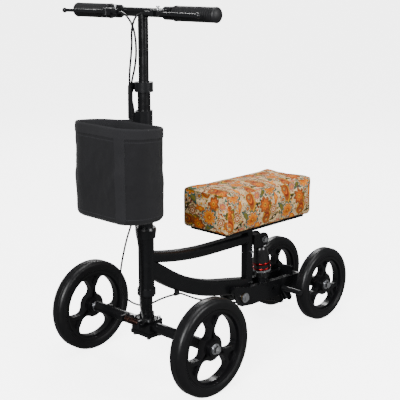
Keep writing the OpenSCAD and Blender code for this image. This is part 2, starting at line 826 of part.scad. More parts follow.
// A lever's clamp on the bar, its arms round the pivot, and its cable adjuster
module perch() {
    arm_z = lever_t / 2 + gap;
    difference() {
        union() {
            bar_x(perch_d, perch_x - perch_w / 2, perch_x + perch_w / 2, 0, handlebar_z);
            for (s = [-1, 1]) {
                z = handlebar_z + s * (arm_z + 2);
                translate([perch_x - 13, lever_pivot_y, z - 2]) cube([22, -lever_pivot_y, 4]);
                translate([perch_x, lever_pivot_y, z - 2]) cylinder(d = 16, h = 4);
            }
            translate([perch_x - 24, -44, handlebar_z - 8.3]) cube([12, 38, 16.6]);
            bar_x(9, 56, perch_x - 24, -38, handlebar_z);
            bar_x(11, 50, 57, -38, handlebar_z);
        }
        bar_x(handlebar_d, 60, 120, 0, handlebar_z);
        translate([perch_x, lever_pivot_y, 0]) cylinder(d = lever_pivot_d, h = 2000);
        bar_x(cable_d, 40, 56, -38, handlebar_z);
        translate([perch_x - 18, -22, handlebar_z - 3]) cylinder(d = 5 + 2 * fit, h = 60);
    }
    translate([perch_x, lever_pivot_y, handlebar_z - arm_z - 4])
        cylinder(d = lever_pivot_d, h = 2 * arm_z + 8);
}

module lever_perches() {
    color(satin) place() both_sides() perch();
}

// The blade from its pivot out to a ball end, drawn for the left side
module brake_lever() {
    tip_y = -52;
    difference() {
        union() {
            translate([0, 0, handlebar_z - lever_t / 2]) linear_extrude(lever_t) union() {
                translate([perch_x, lever_pivot_y]) circle(7);
                polygon([[perch_x - 4, lever_pivot_y - 6], [perch_x + 5, lever_pivot_y + 5],
                         [perch_x + 30, -33], [perch_x + 70, -36], [lever_tip_x, tip_y + 4],
                         [lever_tip_x, tip_y - 4], [perch_x + 70, -46], [perch_x + 30, -46]]);
            }
            translate([lever_tip_x, tip_y, handlebar_z]) sphere(d = 13);
        }
        translate([perch_x, lever_pivot_y, 0]) cylinder(d = lever_pivot_d + 2 * fit, h = 2000);
    }
}

module left_brake_lever() {
    color(steel) place() brake_lever();
}

module right_brake_lever() {
    color(steel) place() mirror([1, 0, 0]) brake_lever();
}

// The parking lock's push button on top of a perch
module lock_button() {
    translate([perch_x - 18, -22, handlebar_z + 2]) cylinder(d = 5, h = 14);
    translate([perch_x - 18, -22, handlebar_z + 14]) cylinder(d = 9, h = 3);
}

module left_lock_button() {
    color(steel) place() lock_button();
}

module right_lock_button() {
    color(steel) place() mirror([1, 0, 0]) lock_button();
}

// ---------- wheels ----------

// Draws a wheel part, made about X at the origin, at one of the four corners
module at_wheel(side, front) {
    x = side * (front ? front_track : rear_track) / 2;
    y = front ? 0 : wheelbase;
    place() translate([x, y, front ? front_z : rear_z]) children();
}

module spin_x() {
    rotate([0, 90, 0]) rotate_extrude($fn = 96) children();
}

module tyre(d, w, h) {
    corner = min(12, h / 2 - 0.5);
    color(rubber) spin_x() translate([d / 2 - h / 2, 0]) round_rect(h, w, corner);
}

// A slice of a ring, as points
function slice(outer, inner, a1, a2, n) = concat(
    [for (k = [0:n]) let (a = a1 + k * (a2 - a1) / n) outer * [cos(a), sin(a)]],
    [for (k = [0:n]) let (a = a2 + k * (a1 - a2) / n) inner * [cos(a), sin(a)]]);

// The rim, the forked spokes and the hub
module wheel(rim_r, rim_w, hub_w) {
    step = 360 / spokes;
    web_out = rim_r - rim_depth + 0.5;
    hub_r = hub_d / 2;
    window_r = (web_out - hub_r) * 0.27;
    window_a = step / 2 - spoke_a - asin(window_r / (web_out - window_r));
    color(black) difference() {
        union() {
            spin_x() difference() {
                translate([rim_r - rim_depth, -rim_w / 2]) square([rim_depth, rim_w]);
                translate([rim_r - rim_depth - over, rim_w / 2 - 6]) square([4, 10]);
                translate([rim_r - rim_depth - over, -rim_w / 2 - 4]) square([4, 10]);
            }
            rotate([0, 90, 0]) cylinder(r = hub_r, h = hub_w, center = true);
            rotate([0, 90, 0]) linear_extrude(spoke_t, center = true) difference() {
                circle(web_out);
                for (i = [0:spokes - 1]) rotate(step * i)
                    offset(r = window_r)
                        polygon(slice(web_out - 2.5 - window_r, hub_r + 12 + window_r,
                                      -window_a, window_a, 12));
            }
        }
        bar_x(hub_d - 20, -hub_w, hub_w, 0, 0);
        both_sides() {
            bar_x(wheel_bearing_d, hub_w / 2 - wheel_bearing_w, hub_w, 0, 0);
            for (i = [0:spokes - 1]) rotate([step * (i + 0.5), 0, 0]) spoke_pocket(web_out, hub_r);
        }
    }
}

// The sunk triangles by the hub and by the rim that leave a spoke two crossing ribs
module spoke_pocket(web_out, hub_r) {
    half = 11;
    waist = hub_r + (web_out - hub_r) * 0.56;
    rotate([0, 90, 0]) translate([0, 0, spoke_t / 2 - 6]) linear_extrude(10) {
        polygon([waist * [1, 0], (web_out - 6) * [cos(half), sin(half)],
                 (web_out - 4) * [1, 0], (web_out - 6) * [cos(half), -sin(half)]]);
        polygon([[hub_r + 3, 6], [waist - 9, 0], [hub_r + 3, -6]]);
    }
}

module bearings(hub_w) {
    color(steel) both_sides() difference() {
        bar_x(wheel_bearing_d, hub_w / 2 - wheel_bearing_w, hub_w / 2, 0, 0);
        bar_x(axle_d + 2 * fit, 0, hub_w, 0, 0);
    }
}

module front_tyre() {
    tyre(front_wheel_d, front_tyre_w, front_tyre_h);
}

module rear_tyre() {
    tyre(rear_wheel_d, rear_tyre_w, rear_tyre_h);
}

module front_wheel() {
    wheel(front_rim_r, front_tyre_w - 6, front_hub_w);
}

module rear_wheel() {
    wheel(rear_rim_r, rear_tyre_w - 6, rear_hub_w);
}

module front_left_tyre() { at_wheel(1, true) front_tyre(); }
module front_left_wheel() { at_wheel(1, true) front_wheel(); }
module front_left_bearings() { at_wheel(1, true) bearings(front_hub_w); }
module front_right_tyre() { at_wheel(-1, true) front_tyre(); }
module front_right_wheel() { at_wheel(-1, true) front_wheel(); }
module front_right_bearings() { at_wheel(-1, true) bearings(front_hub_w); }
module rear_left_tyre() { at_wheel(1, false) rear_tyre(); }
module rear_left_wheel() { at_wheel(1, false) rear_wheel(); }
module rear_left_bearings() { at_wheel(1, false) bearings(rear_hub_w); }
module rear_right_tyre() { at_wheel(-1, false) rear_tyre(); }
module rear_right_wheel() { at_wheel(-1, false) rear_wheel(); }
module rear_right_bearings() { at_wheel(-1, false) bearings(rear_hub_w); }

// ---------- swing arm, rear brake and shock ----------

// A leg's outline: deep at the pivot, slimmer back to the rear axle
module leg_shape() {
    difference() {
        union() {
            polygon([[pivot_y - 22, pivot_z - 8], [pivot_y - 12, pivot_z - 24], [pivot_y + 30, pivot_z - 29],
                     [wheelbase - 60, pivot_z - 31], [wheelbase, rear_z - 14], [wheelbase, rear_z + 14],
                     [wheelbase - 50, 139], [pivot_y + 30, 146], [pivot_y - 38, 160],
                     [pivot_y - 44, 154], [pivot_y - 40, 140]]);
            translate([wheelbase, rear_z]) circle(18);
        }
        translate([pivot_y, pivot_z]) circle(d = bush_d);
    }
}

module swing_arm() {
    cross_y = wheelbase - 57;
    tube_half = rear_hub_in - 6;
    color(black) place() difference() {
        union() {
            both_sides() plate_x(leg_in, leg_out) leg_shape();
            bar_x(rear_tube_d, -tube_half, tube_half, wheelbase, rear_z);
            translate([-leg_in, cross_y, 112]) cube([leg_gap, 6, 46]);
            both_sides() {
                plate_x(shock_eye_w / 2 + gap, leg_in)
                    difference() {
                        union() {
                            translate([shock_bottom_y, shock_bottom_z]) circle(14);
                            translate([shock_bottom_y - 14, 100]) square([28, shock_bottom_z - 100]);
                        }
                        translate([shock_bottom_y, shock_bottom_z]) circle(d = shock_pin_d);
                    }
                plate_x(leg_in + 5, leg_in + 10) difference() {
                    union() {
                        translate([brake_bar_y, brake_bar_z]) circle(12);
                        polygon([[brake_bar_y - 12, brake_bar_z], [brake_bar_y + 12, brake_bar_z],
                                 [brake_bar_y + 24, 98], [brake_bar_y - 24, 98]]);
                    }
                    translate([brake_bar_y, brake_bar_z]) circle(d = brake_bar_d + 2 * fit);
                }
            }
        }
        bar_x(axle_d, -200, 200, wheelbase, rear_z);
        both_sides() bar_x(shock_pin_d, 0, leg_out + 20, shock_bottom_y, shock_bottom_z);
        both_sides() plate_x(leg_in + 3, leg_out - 3) difference() {
            offset(delta = -4) leg_shape();
            translate([pivot_y, pivot_z]) circle(18);
            translate([shock_bottom_y, shock_bottom_z]) circle(14);
            translate([wheelbase - 30, 50]) square(200);
            translate([brake_bar_y - 26, 90]) square([52, 12]);
        }
    }
}

module pivot_bushes() {
    color("#c9a552") place() both_sides() difference() {
        union() {
            bar_x(bush_d, leg_in, leg_out, pivot_y, pivot_z);
            bar_x(bush_d + 6, leg_out, leg_out + 2, pivot_y, pivot_z);
        }
        bar_x(pivot_bolt_d + 2 * fit, leg_in - over, leg_out + 4, pivot_y, pivot_z);
    }
}

module rear_axle() {
    color(steel) place() axle(rear_hub_in - 6, rear_hub_in, rear_hub_out, wheelbase, rear_z);
}

// The bar that presses a round shoe against each rear tyre, with the short lever that pulls it
module rear_brake_bar() {
    arm_out = brake_arm_in + 6;
    color(satin) place() {
        bar_x(brake_bar_d, -arm_out, arm_out, brake_bar_y, brake_bar_z);
        both_sides() {
            plate_x(brake_arm_in, arm_out) difference() {
                union() {
                    translate([brake_bar_y, brake_bar_z]) circle(9);
                    translate([brake_shoe_y, brake_shoe_z]) circle(9);
                    polygon([[brake_bar_y - 8, brake_bar_z - 4], [brake_bar_y + 7, brake_bar_z + 5],
                             [brake_shoe_y + 8, brake_shoe_z + 4], [brake_shoe_y - 7, brake_shoe_z - 5]]);
                }
                translate([brake_bar_y, brake_bar_z]) circle(d = brake_bar_d);
            }
            bar_x(brake_shoe_d, arm_out, rear_track / 2 + rear_tyre_w / 2, brake_shoe_y, brake_shoe_z);
        }
        plate_x(13, 19) difference() {
            union() {
                translate([brake_bar_y, brake_bar_z]) circle(9);
                translate([brake_bar_y - 9, brake_bar_z - 24]) square([14, 24]);
            }
            translate([brake_bar_y, brake_bar_z]) circle(d = brake_bar_d);
        }
    }
}

// Draws a shock part, made along -Z from its top eye, at the shock's tilt
module at_shock() {
    place() translate([0, shock_top_y, shock_top_z]) rotate([shock_tilt, 0, 0]) children();
}

module shock_eye(z) {
    translate([0, 0, z]) rotate([0, 90, 0]) cylinder(d = shock_eye_d, h = shock_eye_w, center = true);
}

module shock_body() {
    color("#26272a") at_shock() difference() {
        union() {
            shock_eye(0);
            translate([0, 0, -24]) cylinder(d = 21, h = 20);
            translate([0, 0, -68]) cylinder(d1 = 48, d2 = 34, h = 46);
            translate([0, 0, -101]) cylinder(d = 50, h = 33);
            translate([0, 0, -can_bottom]) cylinder(d = can_foot_d, h = 20);
        }
        translate([0, 0, -can_bottom - over]) cylinder(d = shock_bore_d, h = can_bottom + over - 26);
        rotate([0, 90, 0]) cylinder(d = shock_pin_d + 2 * fit, h = 60, center = true);
    }
}

module shock_shaft() {
    color(satin) at_shock() difference() {
        union() {
            shock_eye(-shock_len);
            translate([0, 0, -shock_len + 4]) cylinder(d = 22, h = 16);
            translate([0, 0, -134]) cylinder(d = shock_bore_d - 2 * fit * 2, h = 46);
        }
        translate([0, 0, -shock_len]) rotate([0, 90, 0])
            cylinder(d = shock_pin_d + 1, h = 60, center = true);
    }
}

module shock_spring() {
    color(steel) at_shock() translate([0, 0, -86]) sweep(helix(11, 9.2, 6, 12), 3.4, 6, [1, 0, 0]);
}

module shock_bolt() {
    color(steel) place() bar_x(shock_pin_d, -leg_in - 4, leg_in + 4, shock_bottom_y, shock_bottom_z);
}

// ---------- seat ----------

module seat_post() {
    color(black) place() translate([0, seat_tube_y, post_bottom])
        linear_extrude(plate_z - post_bottom) difference() {
            square(seat_post_w, center = true);
            square(seat_post_w - 5, center = true);
        }
}

module seat_plate() {
    color(black) place() translate([0, cushion_y, plate_z])
        linear_extrude(plate_t) round_rect(cushion_w - 26, cushion_l - 30, 14);
}

// The foam block in its fabric cover
module cushion() {
    r = 16;
    color("#f1ead8") place() translate([0, cushion_y, cushion_z]) intersection() {
        linear_extrude(cushion_h) round_rect(cushion_w, cushion_l, r);
        translate([0, cushion_l, cushion_h / 2]) rotate([90, 0, 0])
            linear_extrude(2 * cushion_l) round_rect(cushion_w, cushion_h, r - 4);
    }
}

// ---------- cables ----------

module rear_brake_cable() {
    color(rubber) place() sweep(softened(rear_cable_route), cable_d, cable_sides, [1, 0, 0]);
}

// The front cable's housing, and its bare inner wire through the spring and the arm
module front_brake_cable() {
    color(rubber) place() {
        sweep(softened(front_cable_route), cable_d, cable_sides, [1, 0, 0]);
        bar_x(1.6, -54, 20.5, front_pull_y, front_pull_z);
    }
}

head_tube();
upper_tube();
lower_tube();
seat_tube();
headset_cups();
headset_bearings();
shock_mount();
pivot_tube();
frame_bolts();
cable_clip();
steerer();
headset_nut();
fold_base();
axle_clamp();
steering_bolts();
front_axle_tube();
front_axle();
front_brake_arm();
front_brake_spring();
outer_stem();
fold_lever();
height_clamp();
qr_lever();
basket_bracket();
basket();
basket_straps();
inner_stem();
handlebar();
left_grip();
right_grip();
lever_perches();
left_brake_lever();
right_brake_lever();
left_lock_button();
right_lock_button();
front_left_tyre();
front_left_wheel();
front_left_bearings();
front_right_tyre();
front_right_wheel();
front_right_bearings();
rear_left_tyre();
rear_left_wheel();
rear_left_bearings();
rear_right_tyre();
rear_right_wheel();
rear_right_bearings();
swing_arm();
pivot_bushes();
rear_axle();
rear_brake_bar();
shock_body();
shock_shaft();
shock_spring();
shock_bolt();
seat_post();
seat_plate();
cushion();
rear_brake_cable();
front_brake_cable();
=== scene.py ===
"""The looks of a knee scooter: its finishes, cushion, basket, grips, tyres, shock and cables."""

import json
import logging
import math
from collections.abc import Callable, Iterator, Sequence
from contextlib import contextmanager
from dataclasses import dataclass, field
from enum import Enum

import bmesh
import bpy
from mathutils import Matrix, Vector, noise


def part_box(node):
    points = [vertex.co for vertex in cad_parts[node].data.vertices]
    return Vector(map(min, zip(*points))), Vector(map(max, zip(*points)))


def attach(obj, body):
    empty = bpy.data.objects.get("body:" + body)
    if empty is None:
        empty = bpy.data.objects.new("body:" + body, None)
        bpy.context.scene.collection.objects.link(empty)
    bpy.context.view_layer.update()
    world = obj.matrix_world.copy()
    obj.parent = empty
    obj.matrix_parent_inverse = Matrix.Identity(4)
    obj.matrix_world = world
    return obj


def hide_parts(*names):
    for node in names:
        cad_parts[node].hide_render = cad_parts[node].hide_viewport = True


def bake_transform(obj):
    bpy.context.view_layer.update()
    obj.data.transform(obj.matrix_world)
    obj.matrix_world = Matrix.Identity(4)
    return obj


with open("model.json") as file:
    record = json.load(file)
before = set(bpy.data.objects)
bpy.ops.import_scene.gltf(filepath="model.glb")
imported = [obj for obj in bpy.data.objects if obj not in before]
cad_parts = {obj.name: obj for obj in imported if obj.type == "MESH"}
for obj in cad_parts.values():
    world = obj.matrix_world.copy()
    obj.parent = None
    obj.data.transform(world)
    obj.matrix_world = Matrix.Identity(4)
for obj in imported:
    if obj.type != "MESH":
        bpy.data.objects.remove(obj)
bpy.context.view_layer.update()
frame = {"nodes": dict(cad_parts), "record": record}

LOG = logging.getLogger("knee_scooter")
Colour = tuple[float, float, float]
Point = tuple[float, float, float]
COLUMN_Y = -0.285
MM = 0.001


def place(x: float, y: float, z: float) -> Vector:
    """A point given in millimetres about the steering axis, as a place in metres."""
    return Vector((x * MM, y * MM + COLUMN_Y, z * MM))


# ---------- making meshes ----------


def begin(name: str, primitive: Callable[..., set], **settings: object) -> bpy.types.Object:
    """Adds a primitive and names it.

    Args:
        name: The new piece's name.
        primitive: The operator that adds it.
        settings: The operator's own settings.

    Returns:
        The new object, which is the active one.
    """
    bpy.ops.object.select_all(action="DESELECT")
    primitive(**settings)
    piece = bpy.context.active_object
    piece.name = name
    piece.data.name = name
    bpy.ops.object.transform_apply(location=True, rotation=True, scale=True)
    return piece


@contextmanager
def editing(piece: bpy.types.Object, mode: str = "FACE") -> Iterator[bmesh.types.BMesh]:
    """Puts a piece in edit mode for as long as the with block runs.

    Args:
        piece: The object to edit.
        mode: VERT, EDGE or FACE.

    Returns:
        The mesh that is being edited.
    """
    bpy.context.view_layer.objects.active = piece
    bpy.ops.object.mode_set(mode="EDIT")
    bpy.ops.mesh.select_mode(type=mode)
    try:
        yield bmesh.from_edit_mesh(piece.data)
    finally:
        bpy.ops.object.mode_set(mode="OBJECT")


def apply_modifier(piece: bpy.types.Object, kind: str, **settings: object) -> None:
    """Adds a modifier to a piece and applies it.

    Args:
        piece: The object to change.
        kind: The modifier's type.
        settings: The modifier's own settings.
    """
    bpy.context.view_layer.objects.active = piece
    modifier = piece.modifiers.new(kind.title(), kind)
    for key, value in settings.items():
        setattr(modifier, key, value)
    bpy.ops.object.modifier_apply(modifier=modifier.name)


def smooth(piece: bpy.types.Object, degrees: float = 40.0) -> None:
    """Shades a piece smooth, except across edges sharper than the angle."""
    bpy.ops.object.select_all(action="DESELECT")
    piece.select_set(True)
    bpy.context.view_layer.objects.active = piece
    bpy.ops.object.shade_smooth_by_angle(angle=math.radians(degrees))


def tidy_normals(piece: bpy.types.Object) -> None:
    """Merges a piece's doubles and turns its faces outwards."""
    with editing(piece, "VERT"):
        bpy.ops.mesh.select_all(action="SELECT")
        bpy.ops.mesh.remove_doubles(threshold=1e-6)
        bpy.ops.mesh.normals_make_consistent(inside=False)


def lathe(
    name: str,
    profile: Sequence[tuple[float, float]],
    centre: Vector,
    axis: Vector,
    steps: int = 96,
    closed: bool = True,
) -> bpy.types.Object:
    """Turns a profile about an axis, as on a lathe.

    Args:
        name: The new piece's name.
        profile: Points (along the axis, radius) in metres, measured from the centre.
        centre: A point on the axis.
        axis: The axis's direction.
        steps: How many segments the full turn has.
        closed: Whether the profile's end joins its start.

    Returns:
        The turned piece.
    """
    along = axis.normalized()
    across = along.orthogonal().normalized()
    spots = [centre + along * s + across * r for s, r in profile]
    piece = begin(name, bpy.ops.mesh.primitive_plane_add, size=0.001, location=centre)
    with editing(piece, "VERT"):
        bpy.ops.mesh.select_all(action="SELECT")
        bpy.ops.mesh.merge(type="CENTER")
        bpy.ops.transform.translate(value=spots[0] - centre)
        for a, b in zip(spots, spots[1:]):
            bpy.ops.mesh.extrude_region_move(TRANSFORM_OT_translate={"value": b - a})
        if closed:
            mesh = bmesh.from_edit_mesh(piece.data)
            bpy.ops.mesh.select_all(action="DESELECT")
            for vertex in mesh.verts:
                ends = (spots[0], spots[-1])
                vertex.select = any((vertex.co - end).length < 1e-7 for end in ends)
            bmesh.update_edit_mesh(piece.data)
            bpy.ops.mesh.edge_face_add()
        bpy.ops.mesh.select_all(action="SELECT")
        bpy.ops.mesh.spin(steps=steps, angle=math.tau, center=centre, axis=along)
    tidy_normals(piece)
    smooth(piece)
    return piece


def surface(
    name: str,
    columns: int,
    rows: int,
    spot: Callable[[float, float], Vector],
    size: tuple[float, float],
    wall: float = 0.0,
    outward: float = -1.0,
) -> bpy.types.Object:
    """Lays a grid over a curved surface and gives it a thickness.

    Args:
        name: The new piece's name.
        columns: How many divisions the grid has along u.
        rows: How many divisions the grid has along v.
        spot: Gives the place of a point (u, v), each from 0 to 1.
        size: The sheet's flat width and height in metres, for its UV map.
        wall: The thickness in metres, or 0 for none.
        outward: -1 to thicken against the normal, 1 along it.

    Returns:
        The shaped piece.
    """
    piece = begin(
        name,
        bpy.ops.mesh.primitive_grid_add,
        x_subdivisions=columns,
        y_subdivisions=rows,
        size=1.0,
        location=(0.5, 0.5, 0.0),
        calc_uvs=True,
    )
    for vertex in piece.data.vertices:
        vertex.co = spot(vertex.co.x, vertex.co.y)
    for corner in piece.data.uv_layers.active.data:
        corner.uv = (corner.uv.x * size[0], corner.uv.y * size[1])
    with editing(piece, "VERT"):
        bpy.ops.mesh.select_all(action="SELECT")
        bpy.ops.mesh.remove_doubles(threshold=1e-6)
    if wall:
        apply_modifier(piece, "SOLIDIFY", thickness=wall, offset=outward, use_even_offset=True)
    smooth(piece, 50.0)
    return piece


def rounded(points: Sequence[Vector], rounds: int = 1) -> list[Vector]:
    """Softens a route's corners.

    Args:
        points: The route's points.
        rounds: How many times its corners are cut.

    Returns:
        The softened route, with the same ends.
    """
    route = list(points)
    for _ in range(rounds):
        cut = [route[0]]
        for before, here, after in zip(route, route[1:], route[2:]):
            cut += [here.lerp(before, 0.25), here.lerp(after, 0.25)]
        route = cut + [route[-1]]
    return route


def tube(name: str, route: Sequence[Vector], diameter: float, sides: int = 12) -> bpy.types.Object:
    """Sweeps a round tube along a route and makes it a mesh.

    Args:
        name: The new piece's name.
        route: The points along its middle.
        diameter: The tube's diameter in metres.
        sides: How many flat sides its section has.

    Returns:
        The tube.
    """
    bpy.ops.object.select_all(action="DESELECT")
    curve = bpy.data.curves.new(name, "CURVE")
    curve.dimensions = "3D"
    curve.bevel_depth = diameter / 2
    curve.bevel_resolution = sides // 4
    curve.use_fill_caps = True
    line = curve.splines.new("POLY")
    line.points.add(len(route) - 1)
    for point, spot in zip(line.points, route):
        point.co = (*spot, 1.0)
    piece = bpy.data.objects.new(name, curve)
    bpy.context.collection.objects.link(piece)
    bpy.context.view_layer.objects.active = piece
    piece.select_set(True)
    bpy.ops.object.convert(target="MESH")
    piece = bpy.context.active_object
    piece.name = name
    tidy_normals(piece)
    smooth(piece, 60.0)
    return piece


# ---------- finishes ----------


class Shade:
    """A material's node tree, with short ways to add to it."""

    def __init__(self, name: str, colour: Colour, rough: float, metal: float = 0.0) -> None:
        """Starts a material with one even colour.

        Args:
            name: The material's name.
            colour: Its base colour.
            rough: Its roughness.
            metal: How metallic it is.
        """
        self.material = bpy.data.materials.new(name)
        self.material.use_nodes = True
        self.tree = self.material.node_tree
        self.shader = self.tree.nodes["Principled BSDF"]
        self.shader.inputs["Base Color"].default_value = (*colour, 1.0)
        self.shader.inputs["Roughness"].default_value = rough
        self.shader.inputs["Metallic"].default_value = metal
        self.material.diffuse_color = (*colour, 1.0)

    def add(self, kind: str, **settings: object) -> bpy.types.Node:
        """Adds a node of a kind and gives it its settings."""
        node = self.tree.nodes.new(kind)
        for key, value in settings.items():
            setattr(node, key, value)
        return node

    def feed(self, socket: bpy.types.NodeSocket, value: object) -> None:
        """Links an output into a socket, or writes a plain value there."""
        if isinstance(value, bpy.types.NodeSocket):
            self.tree.links.new(value, socket)
        elif value is not None:
            socket.default_value = value

    def math(self, operation: str, *values: object) -> bpy.types.NodeSocket:
        """A math node's result for up to three values."""
        node = self.add("ShaderNodeMath", operation=operation)
        for socket, value in zip(node.inputs, values):
            self.feed(socket, value)
        return node.outputs[0]

    def vector(self, operation: str, *values: object) -> bpy.types.NodeSocket:
        """A vector math node's result for up to three vectors."""
        node = self.add("ShaderNodeVectorMath", operation=operation)
        for socket, value in zip(node.inputs, values):
            self.feed(socket, value)
        return node.outputs["Value" if operation == "LENGTH" else "Vector"]

    def coordinates(self, output: str = "Object") -> bpy.types.NodeSocket:
        """The surface's coordinates of one kind."""
        return self.add("ShaderNodeTexCoord").outputs[output]

    def noise(self, scale: float, detail: float = 3.0, where: object = None) -> bpy.types.NodeSocket:
        """A noise value from 0 to 1 at a scale per metre."""
        node = self.add("ShaderNodeTexNoise")
        self.feed(node.inputs["Vector"], where or self.coordinates())
        node.inputs["Scale"].default_value = scale
        node.inputs["Detail"].default_value = detail
        return node.outputs["Fac"]

    def span(
        self, value: object, low: float, high: float, start: float = 0.3, end: float = 0.7
    ) -> bpy.types.NodeSocket:
        """Maps a value from start..end onto low..high."""
        node = self.add("ShaderNodeMapRange")
        for key, number in (("From Min", start), ("From Max", end), ("To Min", low), ("To Max", high)):
            node.inputs[key].default_value = number
        self.feed(node.inputs["Value"], value)
        return node.outputs["Result"]

    def mix(self, factor: object, first: object, second: object) -> bpy.types.NodeSocket:
        """Mixes two colours by a factor."""
        node = self.add("ShaderNodeMix", data_type="RGBA")
        self.feed(node.inputs["Factor"], factor)
        for socket, value in ((node.inputs[6], first), (node.inputs[7], second)):
            self.feed(socket, (*value, 1.0) if isinstance(value, tuple) else value)
        return node.outputs[2]

    def bump(self, height: object, strength: float, distance: float) -> None:
        """Bumps the surface by a height."""
        node = self.add("ShaderNodeBump")
        node.inputs["Strength"].default_value = strength
        node.inputs["Distance"].default_value = distance
        self.feed(node.inputs["Height"], height)
        self.feed(self.shader.inputs["Normal"], node.outputs["Normal"])

    def colour(self, value: object) -> None:
        """Feeds the base colour."""
        self.feed(self.shader.inputs["Base Color"], value)

    def rough(self, value: object) -> None:
        """Feeds the roughness."""
        self.feed(self.shader.inputs["Roughness"], value)


def lighter(colour: Colour, factor: float) -> Colour:
    """The colour with each channel multiplied by a factor, at most 1."""
    return tuple(min(1.0, c * factor) for c in colour)


@dataclass(frozen=True)
class Paint:
    """Powder coat or gloss paint on metal, with faint dust and an uneven surface."""

    name: str
    tint: Colour
    rough: float = 0.3
    grain: float = 900.0
    relief: float = 0.012
    coat: float = 0.1
    specular: float = 0.22

    def material(self) -> bpy.types.Material:
        """Builds the finish."""
        shade = Shade(self.name, self.tint, self.rough)
        shade.shader.inputs["Coat Weight"].default_value = self.coat
        shade.shader.inputs["Coat Roughness"].default_value = 0.12
        shade.shader.inputs["Specular IOR Level"].default_value = self.specular
        cloud = shade.noise(14.0)
        shade.colour(shade.mix(cloud, lighter(self.tint, 0.8), lighter(self.tint, 1.25)))
        shade.rough(shade.span(shade.noise(60.0, 5.0), self.rough - 0.05, self.rough + 0.09))
        shade.bump(shade.noise(self.grain, 2.0), self.relief, 0.0004)
        return shade.material


@dataclass(frozen=True)
class Metal:
    """Bare or plated metal with fine marks from turning, rolling or handling."""

    name: str
    tint: Colour
    rough: float = 0.2
    streak: Point = (40.0, 40.0, 900.0)
    relief: float = 0.06

    def material(self) -> bpy.types.Material:
        """Builds the finish."""
        shade = Shade(self.name, self.tint, self.rough, 1.0)
        mapping = shade.add("ShaderNodeMapping")
        mapping.inputs["Scale"].default_value = self.streak
        shade.feed(mapping.inputs["Vector"], shade.coordinates())
        marks = shade.noise(1.0, 4.0, mapping.outputs["Vector"])
        stain = shade.noise(55.0, 4.0)
        shade.colour(shade.mix(stain, lighter(self.tint, 0.82), lighter(self.tint, 1.08)))
        shade.rough(shade.span(marks, self.rough * 0.7, self.rough * 1.5))
        shade.bump(marks, self.relief, 0.0003)
        return shade.material


@dataclass(frozen=True)
class Moulding:
    """Moulded plastic or rubber with a fine texture and a little dust in it."""

    name: str
    tint: Colour
    rough: float = 0.45
    grain: float = 1400.0
    relief: float = 0.12
    dust: float = 0.25
    specular: float = 0.5

    def material(self) -> bpy.types.Material:
        """Builds the finish."""
        shade = Shade(self.name, self.tint, self.rough)
        shade.shader.inputs["Specular IOR Level"].default_value = self.specular
        patches = shade.span(shade.noise(30.0, 6.0), 0.0, self.dust)
        shade.colour(shade.mix(patches, self.tint, lighter(self.tint, 2.2)))
        shade.rough(shade.span(shade.noise(90.0, 4.0), self.rough - 0.06, self.rough + 0.08))
        shade.bump(shade.noise(self.grain, 2.0), self.relief, 0.0005)
        return shade.material


@dataclass(frozen=True)
class Cloth:
    """Woven cloth or webbing: threads over and under each other along the piece's UV map."""

    name: str
    tint: Colour
    thread: float = 0.0012
    relief: float = 0.5
    sheen: float = 0.08
    fade: float = 1.35
    rib: float = 1.0
    stitch_rows: tuple[float, ...] = ()

    def material(self) -> bpy.types.Material:
        """Builds the finish."""
        shade = Shade(self.name, self.tint, 0.85)
        shade.shader.inputs["Sheen Weight"].default_value = self.sheen
        shade.shader.inputs["Specular IOR Level"].default_value = 0.12
        split = shade.add("ShaderNodeSeparateXYZ")
        shade.feed(split.inputs[0], shade.coordinates("UV"))
        turns = math.tau / (2 * self.thread)
        weft = shade.math("SINE", shade.math("MULTIPLY", split.outputs["X"], turns))
        warp = shade.math("SINE", shade.math("MULTIPLY", split.outputs["Y"], turns * self.rib))
        weave = shade.math("MULTIPLY_ADD", shade.math("MULTIPLY", weft, warp), 0.5, 0.5)
        cloud = shade.noise(16.0, 5.0)
        worn = shade.mix(cloud, lighter(self.tint, 0.75), lighter(self.tint, self.fade))
        shade.colour(shade.mix(shade.span(weave, 0.0, 0.3, 0.0, 1.0), worn, lighter(self.tint, 0.45)))
        shade.bump(weave, self.relief, 0.0004)
        if self.stitch_rows:
            self.stitch(shade, split, worn)
        return shade.material

    def stitch(self, shade: Shade, split: bpy.types.Node, base: object) -> None:
        """Adds rows of stitches at heights up the cloth.

        Args:
            shade: The finish that takes them.
            split: The node that gives the UV map's parts.
            base: The cloth's colour.
        """
        dash = shade.math("FRACT", shade.math("MULTIPLY", split.outputs["X"], 1 / 0.005))
        on = shade.math("LESS_THAN", dash, 0.65)
        rows = None
        for height in self.stitch_rows:
            near = shade.math("COMPARE", split.outputs["Y"], height, 0.0007)
            rows = near if rows is None else shade.math("MAXIMUM", rows, near)
        shade.colour(shade.mix(shade.math("MULTIPLY", rows, on), base, lighter(self.tint, 3.0)))


class Motif(Enum):
    """The shapes of a printed floral cloth."""

    FLOWER = "flower"
    LEAF = "leaf"
    DROP = "drop"


Ramp = tuple[tuple[float, Colour], ...]

CREAM: Colour = (0.62, 0.42, 0.20)
ORANGE: Colour = (0.50, 0.110, 0.008)
GOLD: Colour = (0.58, 0.235, 0.012)
BRICK: Colour = (0.17, 0.022, 0.006)
TEAL: Colour = (0.040, 0.090, 0.070)
OLIVE: Colour = (0.120, 0.100, 0.012)
PINK: Colour = (0.45, 0.120, 0.070)
RUST: Colour = (0.26, 0.065, 0.012)
PLUM: Colour = (0.15, 0.035, 0.030)
DARK: Colour = (0.022, 0.014, 0.010)
PALE: Colour = (0.76, 0.58, 0.34)


@dataclass(frozen=True)
class Print:
    """One printed motif in a repeat of the cloth."""

    kind: Motif
    x: float
    y: float
    size: float
    turn: float
    bands: Ramp
    petals: int = 6


